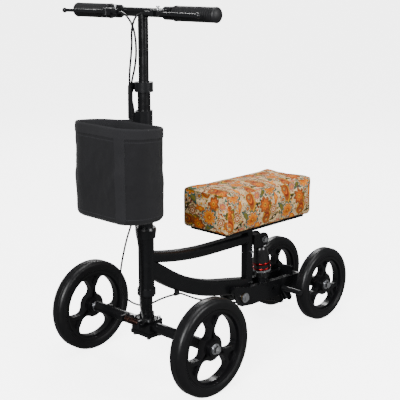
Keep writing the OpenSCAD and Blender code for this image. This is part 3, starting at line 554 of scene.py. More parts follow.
BLOOM: Ramp = (
    (0.0, GOLD), (0.14, BRICK), (0.22, ORANGE), (0.48, GOLD), (0.60, BRICK), (0.64, ORANGE), (0.76, PALE), (0.80, TEAL)
)
MARIGOLD: Ramp = ((0.0, DARK), (0.12, GOLD), (0.30, BRICK), (0.36, ORANGE), (0.66, BRICK), (0.74, RUST), (0.92, DARK))
ROSETTE: Ramp = ((0.0, BRICK), (0.20, PALE), (0.34, RUST), (0.66, PALE), (0.74, BRICK), (0.86, OLIVE))
DAISY: Ramp = ((0.0, GOLD), (0.28, PINK), (0.66, BRICK), (0.80, PALE), (0.88, PLUM))
BLUET: Ramp = ((0.0, GOLD), (0.26, PLUM), (0.62, PALE), (0.74, TEAL))
PAISLEY: Ramp = (
    (0.0, GOLD), (0.20, TEAL), (0.30, RUST), (0.50, ORANGE), (0.58, BRICK), (0.70, RUST), (0.84, GOLD), (0.92, OLIVE)
)
GREEN_LEAF: Ramp = ((0.0, OLIVE), (0.55, TEAL), (0.88, DARK))
RUST_LEAF: Ramp = ((0.0, GOLD), (0.3, ORANGE), (0.85, BRICK))
FEATHER: Ramp = ((0.0, PALE), (0.18, DARK), (0.6, OLIVE), (0.85, DARK))
BUDS: Ramp = ((0.0, BRICK), (0.22, ORANGE), (0.42, OLIVE), (0.60, GOLD), (0.76, PLUM), (0.88, TEAL))

REPEAT: tuple[Print, ...] = tuple(
    Print(*row)
    for row in (
        (Motif.LEAF, 0.30, 0.10, 0.150, 0.6, GREEN_LEAF),
        (Motif.LEAF, 0.44, 0.36, 0.130, 2.2, FEATHER),
        (Motif.LEAF, 0.06, 0.46, 0.150, 1.2, RUST_LEAF),
        (Motif.LEAF, 0.66, 0.60, 0.140, -0.5, GREEN_LEAF),
        (Motif.LEAF, 0.92, 0.22, 0.130, 2.7, FEATHER),
        (Motif.LEAF, 0.50, 0.93, 0.140, 0.1, RUST_LEAF),
        (Motif.LEAF, 0.84, 0.92, 0.120, 1.5, GREEN_LEAF),
        (Motif.LEAF, 0.14, 0.92, 0.120, -0.9, FEATHER),
        (Motif.DROP, 0.62, 0.20, 0.170, 0.8, PAISLEY),
        (Motif.DROP, 0.12, 0.70, 0.165, 3.6, PAISLEY),
        (Motif.DROP, 0.88, 0.50, 0.150, 5.2, PAISLEY),
        (Motif.FLOWER, 0.20, 0.28, 0.190, 0.2, BLOOM, 9),
        (Motif.FLOWER, 0.72, 0.80, 0.200, 0.5, BLOOM, 10),
        (Motif.FLOWER, 0.42, 0.62, 0.160, 0.9, MARIGOLD, 8),
        (Motif.FLOWER, 0.82, 0.06, 0.140, 0.3, MARIGOLD, 7),
        (Motif.FLOWER, 0.30, 0.86, 0.115, 0.0, ROSETTE, 8),
        (Motif.FLOWER, 0.62, 0.43, 0.095, 0.4, DAISY, 7),
        (Motif.FLOWER, 0.99, 0.74, 0.100, 0.7, ROSETTE, 7),
        (Motif.FLOWER, 0.43, 0.14, 0.075, 0.1, BLUET, 6),
        (Motif.FLOWER, 0.03, 0.04, 0.085, 0.6, DAISY, 6),
        (Motif.FLOWER, 0.52, 0.80, 0.060, 0.2, BLUET, 5),
        (Motif.FLOWER, 0.99, 0.34, 0.070, 0.9, DAISY, 6),
    )
)


@dataclass(frozen=True)
class FloralCotton:
    """A printed cotton: flowers, leaves and drops of several colours on a cream ground."""

    name: str = "floral_cotton"
    repeat: float = 0.150

    def material(self) -> bpy.types.Material:
        """Builds the finish."""
        shade = Shade(self.name, CREAM, 0.88)
        shade.shader.inputs["Sheen Weight"].default_value = 0.03
        shade.shader.inputs["Specular IOR Level"].default_value = 0.06
        uv = shade.coordinates("UV")
        wobble = self.texture(shade, "ShaderNodeTexNoise", uv, 90.0)
        shift = shade.vector("MULTIPLY", wobble.outputs["Color"], (0.0035, 0.0035, 0.0))
        spot = shade.vector("MULTIPLY", shade.vector("ADD", uv, shift), (1 / self.repeat,) * 3)
        ground = shade.mix(shade.noise(60.0, 4.0, uv), CREAM, PALE)
        tint = self.sprinkle(shade, spot, ground)
        for motif in REPEAT:
            tint = self.stamp(shade, spot, motif, tint)
        thread = shade.noise(2600.0, 1.0, uv)
        shade.colour(shade.mix(shade.span(thread, 0.0, 0.12), tint, DARK))
        shade.bump(self.weave(shade, uv), 0.35, 0.0003)
        return shade.material

    def weave(self, shade: Shade, uv: object) -> bpy.types.NodeSocket:
        """The height of a fine plain weave.

        Args:
            shade: The finish that takes it.
            uv: The cloth's coordinates.

        Returns:
            The height, from 0 to 1.
        """
        split = shade.add("ShaderNodeSeparateXYZ")
        shade.feed(split.inputs[0], uv)
        turns = math.tau / 0.0012
        weft = shade.math("SINE", shade.math("MULTIPLY", split.outputs["X"], turns))
        warp = shade.math("SINE", shade.math("MULTIPLY", split.outputs["Y"], turns))
        return shade.math("MULTIPLY_ADD", shade.math("MULTIPLY", weft, warp), 0.5, 0.5)

    def sprinkle(self, shade: Shade, spot: object, ground: object) -> bpy.types.NodeSocket:
        """Scatters small buds and tendrils over the ground.

        Args:
            shade: The finish that takes them.
            spot: The coordinates, one unit to a repeat.
            ground: The colour under them.

        Returns:
            The new colour.
        """
        buds = self.texture(shade, "ShaderNodeTexVoronoi", spot, 15.0)
        leaf = self.texture(shade, "ShaderNodeTexNoise", spot, 10.0)
        curl = self.texture(shade, "ShaderNodeTexNoise", spot, 23.0)
        tint = ground
        lines = ((leaf, 0.5, 0.013, 0.85, OLIVE), (curl, 0.46, 0.030, 0.75, RUST), (curl, 0.60, 0.022, 0.75, TEAL))
        for waves, level, width, strength, colour in lines:
            line = shade.math("COMPARE", waves.outputs["Fac"], level, width)
            tint = shade.mix(shade.math("MULTIPLY", line, strength), tint, colour)
        inside = shade.math("LESS_THAN", buds.outputs["Distance"], 0.36)
        kinds = shade.add("ShaderNodeValToRGB")
        kinds.color_ramp.interpolation = "CONSTANT"
        self.fill(kinds.color_ramp, BUDS)
        pick = shade.add("ShaderNodeSeparateColor")
        shade.feed(pick.inputs[0], buds.outputs["Color"])
        shade.feed(kinds.inputs[0], pick.outputs[0])
        return shade.mix(inside, tint, kinds.outputs["Color"])

    def texture(self, shade: Shade, kind: str, spot: object, scale: float) -> bpy.types.Node:
        """Adds a texture node.

        Args:
            shade: The finish that takes it.
            kind: The node's type.
            spot: The coordinates that it reads.
            scale: Its scale.

        Returns:
            The node.
        """
        node = shade.add(kind)
        node.inputs["Scale"].default_value = scale
        shade.feed(node.inputs["Vector"], spot)
        return node

    def fill(self, ramp: bpy.types.ColorRamp, bands: Ramp) -> None:
        """Writes bands of colour into a ramp.

        Args:
            ramp: The ramp to write.
            bands: The start and colour of each band.
        """
        while len(ramp.elements) < len(bands):
            ramp.elements.new(1.0)
        for element, (start, tint) in zip(ramp.elements, bands):
            element.position = start
            element.color = (*tint, 1.0)

    def stamp(self, shade: Shade, spot: object, motif: Print, under: object) -> bpy.types.NodeSocket:
        """Prints one motif over the colour under it, in every repeat.

        Args:
            shade: The finish that takes it.
            spot: The coordinates, one unit to a repeat.
            motif: What to print.
            under: The colour below.

        Returns:
            The new colour.
        """
        corner = (0.5 - motif.x, 0.5 - motif.y, 0.0)
        near = shade.vector("SUBTRACT", shade.vector("FRACTION", shade.vector("ADD", spot, corner)), (0.5, 0.5, 0.5))
        turned = shade.add("ShaderNodeVectorRotate", rotation_type="Z_AXIS")
        shade.feed(turned.inputs["Vector"], near)
        turned.inputs["Angle"].default_value = motif.turn
        split = shade.add("ShaderNodeSeparateXYZ")
        shade.feed(split.inputs[0], turned.outputs[0])
        reach = getattr(self, motif.kind.value)(shade, split.outputs["X"], split.outputs["Y"], motif)
        ramp = shade.add("ShaderNodeValToRGB")
        ramp.color_ramp.interpolation = "CONSTANT"
        self.fill(ramp.color_ramp, motif.bands)
        shade.feed(ramp.inputs[0], reach)
        return shade.mix(shade.math("LESS_THAN", reach, 1.0), under, ramp.outputs["Color"])

    def flower(self, shade: Shade, x: object, y: object, motif: Print) -> bpy.types.NodeSocket:
        """How far out a point lies in a flower, from 0 in its middle to 1 at its petals' ends."""
        angle = shade.math("ARCTAN2", y, x)
        radius = shade.math("SQRT", shade.math("MULTIPLY_ADD", x, x, shade.math("MULTIPLY", y, y)))
        wave = shade.math("ABSOLUTE", shade.math("COSINE", shade.math("MULTIPLY", angle, motif.petals / 2)))
        petal = shade.math("MULTIPLY_ADD", wave, 0.34 * motif.size, 0.66 * motif.size)
        return shade.math("DIVIDE", radius, petal)

    def leaf(self, shade: Shade, x: object, y: object, motif: Print) -> bpy.types.NodeSocket:
        """How far out a point lies in a pointed, curved leaf."""
        bent = shade.math("MULTIPLY_ADD", shade.math("MULTIPLY", x, x), 2.2, y)
        across = shade.math("DIVIDE", bent, 0.36 * motif.size)
        along = shade.math("DIVIDE", shade.math("ABSOLUTE", x), motif.size)
        return shade.math("MULTIPLY_ADD", across, across, along)

    def drop(self, shade: Shade, x: object, y: object, motif: Print) -> bpy.types.NodeSocket:
        """How far out a point lies in a curled drop."""
        bent = shade.math("MULTIPLY_ADD", shade.math("MULTIPLY", x, x), 2.6, shade.math("MULTIPLY", y, 1.25))
        radius = shade.math("SQRT", shade.math("MULTIPLY_ADD", x, x, shade.math("MULTIPLY", bent, bent)))
        girth = shade.math("MULTIPLY_ADD", x, -0.62, 0.72 * motif.size)
        return shade.math("DIVIDE", radius, shade.math("MAXIMUM", girth, 0.01))


FINISHES: tuple[Paint | Metal | Moulding | Cloth, ...] = (
    Paint("black_frame", (0.0040, 0.0041, 0.0046), 0.24),
    Paint("satin_metal", (0.0060, 0.0062, 0.0070), 0.28, coat=0.1),
    Metal("bright_steel", (0.70, 0.71, 0.73), 0.16),
    Metal("bearing_steel", (0.52, 0.53, 0.55), 0.28),
    Moulding("tyre_rubber", (0.0045, 0.0045, 0.0050), 0.36, 700.0, 0.05, 0.1, 0.25),
    Moulding("wheel_plastic", (0.0040, 0.0040, 0.0045), 0.2, 500.0, 0.01, 0.1, 0.3),
    Moulding("grip_rubber", (0.0070, 0.0070, 0.0078), 0.45, 1600.0, 0.2, 0.2, 0.25),
    Cloth("basket_cloth", (0.0075, 0.0075, 0.0085), stitch_rows=(0.014, 0.192)),
    Cloth("webbing", (0.0125, 0.0125, 0.0140), 0.0022, 0.8, rib=0.5),
    Moulding("cable_housing", (0.0040, 0.0040, 0.0045), 0.3, 900.0, 0.04, 0.1, 0.4),
    Moulding("shock_can", (0.0060, 0.0062, 0.0062), 0.2, 600.0, 0.02, 0.1),
    Metal("spring_bronze", (0.060, 0.030, 0.024), 0.35),
    Metal("bush_brass", (0.62, 0.46, 0.24), 0.3),
)


class Finishes:
    """Every finish of the scooter, by the record's material slot."""

    floor_glow = 4.5

    def __init__(self) -> None:
        """Builds the materials."""
        self.slots: dict[str, bpy.types.Material] = {finish.name: finish.material() for finish in FINISHES}
        self.slots["cushion_cover"] = FloralCotton().material()
        self.red_band = Metal("red_anodised_band", (0.34, 0.010, 0.014), 0.22).material()
        self.floor = self.pale_floor()

    def pale_floor(self) -> bpy.types.Material:
        """Builds the floor's even, pale finish."""
        shade = Shade("pale_floor", (0.90, 0.90, 0.90), 0.9)
        shade.shader.inputs["Emission Color"].default_value = (1.0, 1.0, 1.0, 1.0)
        shade.shader.inputs["Emission Strength"].default_value = self.floor_glow
        shade.rough(shade.span(shade.noise(3.0), 0.85, 0.95))
        return shade.material

    def dress(self, piece: bpy.types.Object, slot: str) -> None:
        """Gives a piece the finish of a slot."""
        piece.data.materials.clear()
        piece.data.materials.append(self.slots[slot])

    def dress_frame(self) -> None:
        """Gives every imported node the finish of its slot."""
        for row in frame["record"]["subparts"]:
            self.dress(frame["nodes"][row["node"]], row["material_slot"])


def settle(piece: bpy.types.Object, finishes: Finishes, slot: str, body: str | None) -> bpy.types.Object:
    """Dresses a finished piece and lets it ride on its body.

    Args:
        piece: The finished piece.
        finishes: The scooter's finishes.
        slot: The record's material slot.
        body: The body it moves with, or None where it spans two bodies and is left unattached.

    Returns:
        The same piece.
    """
    finishes.dress(piece, slot)
    if body:
        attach(piece, body)
    LOG.info("%s: %d faces", piece.name, len(piece.data.polygons))
    return piece


# ---------- sub-assemblies ----------


@dataclass
class Tyre:
    """One solid tyre: a round-shouldered ring with grooves round its tread and a bead line on its sides."""

    node: str
    body: str
    height: float
    groove: float = 0.0012
    tread: int = 2

    def profile(self, width: float, outer: float) -> list[tuple[float, float]]:
        """The tyre's section, drawn on one side and mirrored.

        Args:
            width: The tyre's width.
            outer: Its outside radius.

        Returns:
            Points (across, radius) once round the section.
        """
        half, inner = width / 2, outer - self.height
        shoulder = min(0.012, self.height / 2 - 0.0005)
        side = [(half - 0.0035, inner + 0.0002), (half - 0.0006, inner + 0.0030), (half - 0.0010, inner + 0.0052)]
        side += [(half - 0.0002, inner + 0.0060), (half, outer - shoulder - 0.0010)]
        for k in range(1, 9):
            a = math.radians(90 * k / 9)
            side.append((half - shoulder + shoulder * math.cos(a), outer - shoulder + shoulder * math.sin(a)))
        cut = half * 0.42
        side += [(cut + 0.0016, outer), (cut + 0.0006, outer - self.groove), (cut - 0.0006, outer - self.groove)]
        side += [(cut - 0.0016, outer), (0.0016, outer + 0.0001)]
        return side + [(-s, r) for s, r in reversed(side)]

    def build(self, finishes: Finishes) -> bpy.types.Object:
        """Builds and dresses the tyre.

        Args:
            finishes: The scooter's finishes.

        Returns:
            The tyre.
        """
        low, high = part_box(self.node)
        centre = (low + high) / 2
        profile = self.profile(high.x - low.x, (high.z - low.z) / 2)
        piece = lathe(f"{self.node}_tread", profile, centre, Vector((1, 0, 0)), steps=120)
        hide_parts(self.node)
        return settle(piece, finishes, "tyre_rubber", self.body)


@dataclass
class Grip:
    """One handlebar grip: a flange, ribs round its length and a domed end."""

    node: str
    side: int
    ribs: int = 16
    dome: float = 0.009

    def profile(self, length: float, radius: float) -> list[tuple[float, float]]:
        """The grip's section from its flange to its domed end.

        Args:
            length: The grip's whole length.
            radius: Its largest radius.

        Returns:
            Points (along, radius), ending on the axis.
        """
        bore, neck = 0.0112, radius - 0.0022
        line = [(0.0, bore), (0.0, radius - 0.001), (0.001, radius), (0.004, radius), (0.0052, neck)]
        pitch = (length - self.dome - 0.012) / self.ribs
        for k in range(self.ribs):
            s = 0.009 + k * pitch
            line += [(s, neck), (s + pitch * 0.18, radius - 0.0006), (s + pitch * 0.62, radius - 0.0006)]
            line.append((s + pitch * 0.8, neck))
        end = length - self.dome
        line += [(end - 0.002, radius - 0.0008), (end + 0.001, radius)]
        for k in range(1, 7):
            a = math.radians(15 * k)
            line.append((end + 0.001 + (self.dome - 0.001) * math.sin(a), max(radius * math.cos(a), 0.0)))
        return line

    def build(self, finishes: Finishes) -> bpy.types.Object:
        """Builds and dresses the grip.

        Args:
            finishes: The scooter's finishes.

        Returns:
            The grip.
        """
        low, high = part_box(self.node)
        centre = (low + high) / 2
        start = Vector((low.x if self.side > 0 else high.x, centre.y, centre.z))
        profile = self.profile(high.x - low.x, (high.z - low.z) / 2)
        piece = lathe(f"{self.node}_rubber", profile, start, Vector((self.side, 0, 0)), closed=False)
        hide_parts(self.node)
        return settle(piece, finishes, "grip_rubber", "handlebar")


@dataclass
class Shock:
    """What covers the shock's body: a tapered dome, two red anodised bands and a knurled collar."""

    eye: Vector = field(default_factory=lambda: place(0, 447, 268))
    tilt: float = 8.0
    knurls: int = 60
    tooth_depth: float = 0.0007

    def axis(self) -> Vector:
        """The direction from the upper eye to the lower eye."""
        return Vector((0, math.sin(math.radians(self.tilt)), -math.cos(math.radians(self.tilt))))

    def build(self, finishes: Finishes) -> list[bpy.types.Object]:
        """Builds and dresses the covers.

        Args:
            finishes: The scooter's finishes.

        Returns:
            The dome, the two bands and the collar.
        """
        dome = [(0.0215, 0.011), (0.0225, 0.0155), (0.0255, 0.0180), (0.034, 0.0202), (0.046, 0.0222)]
        dome += [(0.058, 0.0242), (0.066, 0.0254), (0.0685, 0.0258), (0.0705, 0.0254), (0.0705, 0.0235)]
        dome += [(0.058, 0.0205), (0.034, 0.0165), (0.0245, 0.011)]
        upper = self.band(0.0715, 0.0775)
        lower = self.band(0.0880, 0.0930)
        ring = [(0.0945, 0.0246), (0.0945, 0.0257), (0.0952, 0.0264), (0.0993, 0.0264), (0.1000, 0.0257)]
        ring.append((0.1000, 0.0246))
        profiles = {"shock_dome": dome, "shock_band_upper": upper, "shock_band_lower": lower, "shock_collar": ring}
        pieces = [lathe(name, line, self.eye, self.axis(), 120) for name, line in profiles.items()]
        self.knurl(pieces[3])
        for piece, slot in zip(pieces, ("shock_can", "shock_can", "shock_can", "bright_steel")):
            settle(piece, finishes, slot, "shock_body")
        for piece in pieces[1:3]:
            piece.data.materials.clear()
            piece.data.materials.append(finishes.red_band)
        return pieces

    def band(self, start: float, end: float) -> list[tuple[float, float]]:
        """The section of a thin band between two distances from the upper eye."""
        line = [(start, 0.0246), (start, 0.0256), (start + 0.0008, 0.0260)]
        return line + [(end - 0.0008, 0.0260), (end, 0.0256), (end, 0.0246)]

    def knurl(self, ring: bpy.types.Object) -> None:
        """Cuts straight teeth round a collar.

        Args:
            ring: The collar, turned with two segments to each tooth.
        """
        axis = self.axis()
        tilt = math.radians(self.tilt)
        ahead = Vector((0, math.cos(tilt), math.sin(tilt)))
        for vertex in ring.data.vertices:
            arm = vertex.co - self.eye
            out = arm - axis * arm.dot(axis)
            tooth = round(math.atan2(out.x, out.dot(ahead)) / math.tau * 2 * self.knurls) % 2
            if out.length > 0.0255 and tooth:
                vertex.co -= out.normalized() * self.tooth_depth
        smooth(ring, 20.0)


@dataclass
class BrakeSpring:
    """The coil spring between the foot's cable stop and the brake arm."""

    start: Vector = field(default_factory=lambda: place(-34.6, -44, 145))
    radius: float = 0.0065
    pitch: float = 0.0059
    turns: int = 9
    wire: float = 0.002

    def build(self, finishes: Finishes) -> bpy.types.Object:
        """Builds and dresses the spring.

        Args:
            finishes: The scooter's finishes.

        Returns:
            The spring.
        """
        steps = 20
        route = []
        for i in range(self.turns * steps + 1):
            a = math.tau * i / steps
            offset = Vector((self.pitch * i / steps, self.radius * math.sin(a), -self.radius * math.cos(a)))
            route.append(self.start + offset)
        piece = tube("front_brake_coil", route, self.wire, 8)
        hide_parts("front_brake_spring")
        settle(piece, finishes, "spring_bronze", None)
        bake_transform(piece)
        return piece


HINGE_Z = 0.424
CLIP_Y = 0.090 + COLUMN_Y
REAR_ROUTE: tuple[Point, ...] = (
    (-44, -38, 924), (-30, -41, 924), (-6, -46, 916), (12, -45, 896), (17, -40, 864),
    (14, -36, 825), (5, -34, 790), (-8, -31, 765), (-14, -30, 742), (-15.5, -26, 715),
    (-15.5, -24.5, 570), (-15.5, -24.5, 424), (-21, -29, 398), (-40, -32, 350), (-66, -30, 270),
    (-77, -24, 215), (-76, -8, 182), (-62, 8, 165), (-40, 22, 160), (-16, 30, 170),
    (2, 46, 183), (13, 66, 189), (15, 84, 189), (15, 94, 189), (15, 104, 189), (16, 130, 176),
    (16, 160, 160), (16, 200, 144), (16, 260, 131), (15, 310, 112), (14, 345, 99), (14, 400, 88),
    (15, 450, 84), (16, 492, 72), (16, 518, 60),
)
FRONT_ROUTE: tuple[Point, ...] = (
    (44, -38, 924), (30, -44, 922), (22, -51, 906), (14, -51, 880), (10, -46, 850),
    (2, -44, 810), (-4, -43, 780), (-9, -39, 745), (-9.5, -33, 715), (-9.5, -24.5, 685),
    (-9.5, -24.5, 570), (-9.5, -24.5, 424), (-5, -30, 400), (3, -34, 376), (8, -32, 350),
    (10, -29, 300), (10, -29, 240), (14, -36, 205), (26, -44, 180), (36, -47, 163),
    (37, -45.5, 150), (31, -44, 145), (20.5, -44, 145),
)


@dataclass
class Stretch:
    """One length of a cable: where it stops, and the bodies it lies on or spans."""

    name: str
    stop: Callable[[Vector], bool]
    bodies: tuple[str, ...]
    start: Vector | None = None
    end: Vector | None = None


@dataclass
class Cable:
    """One brake cable, split where it crosses a joint."""

    node: str
    route: tuple[Point, ...]
    stretches: tuple[Stretch, ...]
    diameter: float = 0.005

    def build(self, finishes: Finishes) -> list[bpy.types.Object]:
        """Builds and dresses each length of the cable.

        Args:
            finishes: The scooter's finishes.

        Returns:
            The lengths, from the handlebar down.
        """
        path = self.even(rounded([place(*p) for p in self.route], 3))
        lengths: list[bpy.types.Object] = []
        first = 0
        for stretch in self.stretches:
            last = next((i for i in range(first + 2, len(path)) if stretch.stop(path[i])), len(path) - 1)
            piece = tube(stretch.name, path[first : last + 1], self.diameter)
            settle(piece, finishes, "cable_housing", stretch.bodies[0] if len(stretch.bodies) == 1 else None)
            if len(stretch.bodies) == 2:
                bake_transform(piece)
            lengths.append(piece)
            first = last
        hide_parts(self.node)
        return lengths

    def even(self, path: list[Vector], step: float = 0.006) -> list[Vector]:
        """Spaces a route's points evenly, so that long straight runs get points along them.

        Args:
            path: The route.
            step: The distance between points.

        Returns:
            The same route with even points.
        """
        out = [path[0]]
        for a, b in zip(path, path[1:]):
            count = max(1, round((b - a).length / step))
            out += [a.lerp(b, k / count) for k in range(1, count + 1)]
        return out


def cables() -> list[Cable]:
    """Both brake cables, with the bodies that each length lies on."""
    clamp = (place(0, 0, 905), place(0, 0, 725))
    hinge = (place(0, -25, 520), place(0, -25, 430))
    rear = (
        Stretch("rear_cable_top", lambda p: p.z < 0.715, ("handlebar", "stem"), *clamp),
        Stretch("rear_cable_column", lambda p: p.z < HINGE_Z, ("stem", "steering"), *hinge),
        Stretch(
            "rear_cable_head", lambda p: p.y > CLIP_Y, ("steering", "frame"), place(-21, -29, 398), place(2, 46, 183)
        ),
        Stretch("rear_cable_tail", lambda p: False, ("frame", "swing_arm"), place(16, 270, 125), place(14, 400, 88)),
    )
    front = (
        Stretch("front_cable_top", lambda p: p.z < 0.690, ("handlebar", "stem"), *clamp),
        Stretch("front_cable_column", lambda p: p.z < HINGE_Z, ("stem", "steering"), *hinge),
        Stretch("front_cable_foot", lambda p: False, ("steering",)),
    )
    return [Cable("rear_brake_cable", REAR_ROUTE, rear), Cable("front_brake_cable", FRONT_ROUTE, front)]


@dataclass
class Basket:
    """A soft, open basket of woven cloth: its sagging shell, hem, straps and the strap to the column."""

    round: float = 0.060
    wall: float = 0.003
    hem_height: float = 0.018
    strap_width: float = 0.028
    strap_thick: float = 0.0016
    columns: int = 160
    rows: int = 54

    def __post_init__(self) -> None:
        """Reads the basket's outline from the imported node."""
        self.low, self.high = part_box("basket")
        self.middle = (self.low + self.high) / 2
        self.wide = (self.high.x - self.low.x) / 2
        self.deep = (self.high.y - self.low.y) / 2
        flat_x, flat_y = self.wide - self.round, self.deep - self.round
        self.girth = 4 * (flat_x + flat_y) + math.tau * self.round

    def outline(self, u: float) -> tuple[Vector, Vector]:
        """A point on the basket's plan and the direction out of it.

        Args:
            u: The distance round, as a share of the whole, from the middle of the back.

        Returns:
            The point about the plan's middle, and the outward direction.
        """
        flat_x, flat_y = self.wide - self.round, self.deep - self.round
        bend = math.pi / 2 * self.round
        runs = (flat_x, bend, 2 * flat_y, bend, 2 * flat_x, bend, 2 * flat_y, bend, flat_x)
        s = (u % 1.0) * self.girth
        leg = 0
        while leg < 8 and s > runs[leg]:
            s -= runs[leg]
            leg += 1
        corners = ((flat_x, flat_y), (flat_x, -flat_y), (-flat_x, -flat_y), (-flat_x, flat_y))
        if leg % 2:
            cx, cy = corners[leg // 2]
            angle = math.pi / 2 - (leg // 2) * math.pi / 2 - s / self.round
            out = Vector((math.cos(angle), math.sin(angle), 0))
            return Vector((cx, cy, 0)) + out * self.round, out
        spots = (
            (Vector((s, self.deep, 0)), Vector((0, 1, 0))),
            (Vector((self.wide, flat_y - s, 0)), Vector((1, 0, 0))),
            (Vector((flat_x - s, -self.deep, 0)), Vector((0, -1, 0))),
            (Vector((-self.wide, s - flat_y, 0)), Vector((-1, 0, 0))),
            (Vector((s - flat_x, self.deep, 0)), Vector((0, 1, 0))),
        )
        return spots[leg // 2]

    def sag(self, u: float, v: float) -> float:
        """How far the cloth stands out from its plan, in metres.

        Args:
            u: The share of the way round.
            v: The share of the way up.

        Returns:
            The distance outwards.
        """
        folds = noise.fractal(Vector((u * 9.0 + v * 2.2, v * 2.4 - u * 2.0, 3.7)), 1.0, 2.0, 3)
        slack = math.sin(math.pi * min(v * 1.05, 1.0)) * (1.0 - 0.5 * v)
        fine = noise.fractal(Vector((u * 42.0, v * 14.0, 1.1)), 1.0, 2.0, 2)
        free = 0.25 + 0.75 * math.sin(math.pi * min(max(v, 0.0), 1.0))
        return free * (0.0034 * folds + 0.0008 * fine) + 0.0012 * slack - 0.0012

    def rim_drop(self, u: float) -> float:
        """How far the rim hangs below its full height, in metres: its front stands a little higher."""
        point, _ = self.outline(u)
        front = 0.5 - point.y / (2 * self.deep)
        return 0.0006 * (0.5 + 0.5 * math.sin(u * math.tau * 3 + 0.7)) - 0.0100 * front

    def skin(self, u: float, v: float, out: float = 0.0) -> Vector:
        """A place on the basket's outside.

        Args:
            u: The share of the way round.
            v: The share of the way up the wall.
            out: How far to stand off the cloth.

        Returns:
            The place.
        """
        point, normal = self.outline(u)
        turned = max(0.0, 1.0 - v / 0.05)
        inset = 0.006 * turned * turned
        height = self.high.z - self.low.z - self.rim_drop(u) * v
        stand = self.sag(u, v) - inset + out
        spot = self.middle + point + normal * stand
        return Vector((spot.x, min(spot.y, self.high.y + 0.0002), self.low.z + 0.0006 + (height - 0.0006) * v))

    def build(self, finishes: Finishes) -> list[bpy.types.Object]:
        """Builds and dresses the basket's pieces.

        Args:
            finishes: The scooter's finishes.

        Returns:
            Every piece of the basket.
        """
        tall = self.high.z - self.low.z
        shell = surface("basket_shell", self.columns, self.rows, lambda u, v: self.skin(u, v), (self.girth, tall))
        self.close_bottom(shell)
        apply_modifier(shell, "SOLIDIFY", thickness=self.wall, offset=-1.0, use_even_offset=True)
        smooth(shell, 50.0)
        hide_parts("basket")
        settle(shell, finishes, "basket_cloth", "stem")
        pieces = [shell, self.hem(finishes)]
        straps = [self.strap(name, at, finishes) for name, at in (("strap_left", 0.382), ("strap_right", 0.650))]
        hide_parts("basket_straps")
        pieces += straps + [self.tether(finishes)]
        return pieces

    def close_bottom(self, shell: bpy.types.Object) -> None:
        """Fills the shell's bottom with a slightly sagging panel.

        Args:
            shell: The open shell.
        """
        with editing(shell, "EDGE") as mesh:
            bpy.ops.mesh.select_all(action="DESELECT")
            for edge in mesh.edges:
                edge.select = all(v.co.z < self.low.z + 0.0012 for v in edge.verts) and edge.is_boundary
            bmesh.update_edit_mesh(shell.data)
            for scale in (0.86, 0.80, 0.72, 0.55, 0.3):
                bpy.ops.mesh.extrude_region_move()
                bpy.ops.transform.resize(value=(scale, scale, 1.0), center_override=self.middle)
            bpy.ops.mesh.edge_face_add()
            bpy.ops.mesh.select_all(action="SELECT")
            bpy.ops.mesh.normals_make_consistent(inside=False)

    def hem(self, finishes: Finishes) -> bpy.types.Object:
        """Builds the folded band round the rim.

        Args:
            finishes: The scooter's finishes.

        Returns:
            The hem.
        """
        tall = self.high.z - self.low.z
        reach = self.hem_height / tall

        def lap(u: float, v: float) -> Vector:
            """A place on the band, which runs up outside, over the rim and down inside."""
            side = (v - 0.5) * 2
            height = 1.0 - reach * abs(side) + (0.004 / tall) * (1 - abs(side)) ** 3
            stand = 0.0008 if side < 0 else -self.wall - 0.0008
            if abs(side) < 0.08:
                stand = -self.wall / 2 - side / 0.08 * (self.wall / 2 + 0.0008)
            return self.skin(u, min(height, 1.0 + 0.004 / tall), stand)

        band = surface("basket_hem", self.columns, 24, lap, (self.girth, self.hem_height * 2), 0.0009, 0.0)
        return settle(band, finishes, "webbing", "stem")

    def strap(self, name: str, at: float, finishes: Finishes) -> bpy.types.Object:
        """Builds one webbing strap, from under the basket up its side and over the rim.

        Args:
            name: The strap's name.
            at: The share of the way round at the strap's middle.
            finishes: The scooter's finishes.

        Returns:
            The strap.
        """
        tall = self.high.z - self.low.z
        half = self.strap_width / 2 / self.girth
        long = tall + 0.05

        def run(u: float, v: float) -> Vector:
            """A place on the strap."""
            s = v * long
            edge = at + (u - 0.5) * 2 * half
            over = s - tall
            if over < 0:
                ripple = 0.0004 * math.sin(s * 70 + at * 20)
                return self.skin(edge, s / tall, 0.0010 + ripple + (0.0009 if s > tall - 0.02 else 0.0))
            if over < 0.008:
                across = over / 0.008
                spot = self.skin(edge, 1.0, 0.0018 - across * (self.wall + 0.0036))
                return spot + Vector((0, 0, 0.0024 * math.sin(math.pi * across)))
            return self.skin(edge, 1.0 - (over - 0.008) / tall, -self.wall - 0.0020)

        band = surface(name, 8, 60, run, (self.strap_width, long), self.strap_thick, 1.0)
        return settle(band, finishes, "webbing", "stem")

    def tether(self, finishes: Finishes) -> bpy.types.Object:
        """Builds the strap from the basket's back rim round the column's bracket.

        Args:
            finishes: The scooter's finishes.

        Returns:
            The tether.
        """
        z = self.high.z - 0.006
        ends = [place(-86, -26.5, 0), place(-52, -25.6, 0), place(-24, -23.6, 0), place(-21, -20, 0)]
        spots = [Vector((p.x, p.y, z + 0.003 * k)) for k, p in enumerate(ends)]
        route = rounded(spots, 3)

        def run(u: float, v: float) -> Vector:
            """A place on the strap."""
            spot = route[min(int(v * (len(route) - 1) + 0.5), len(route) - 1)]
            return spot + Vector((0, 0, (u - 0.5) * 0.016))

        band = surface("basket_tether", 4, len(route) - 1, run, (0.016, 0.09), 0.0012, 0.0)
        return settle(band, finishes, "webbing", "stem")


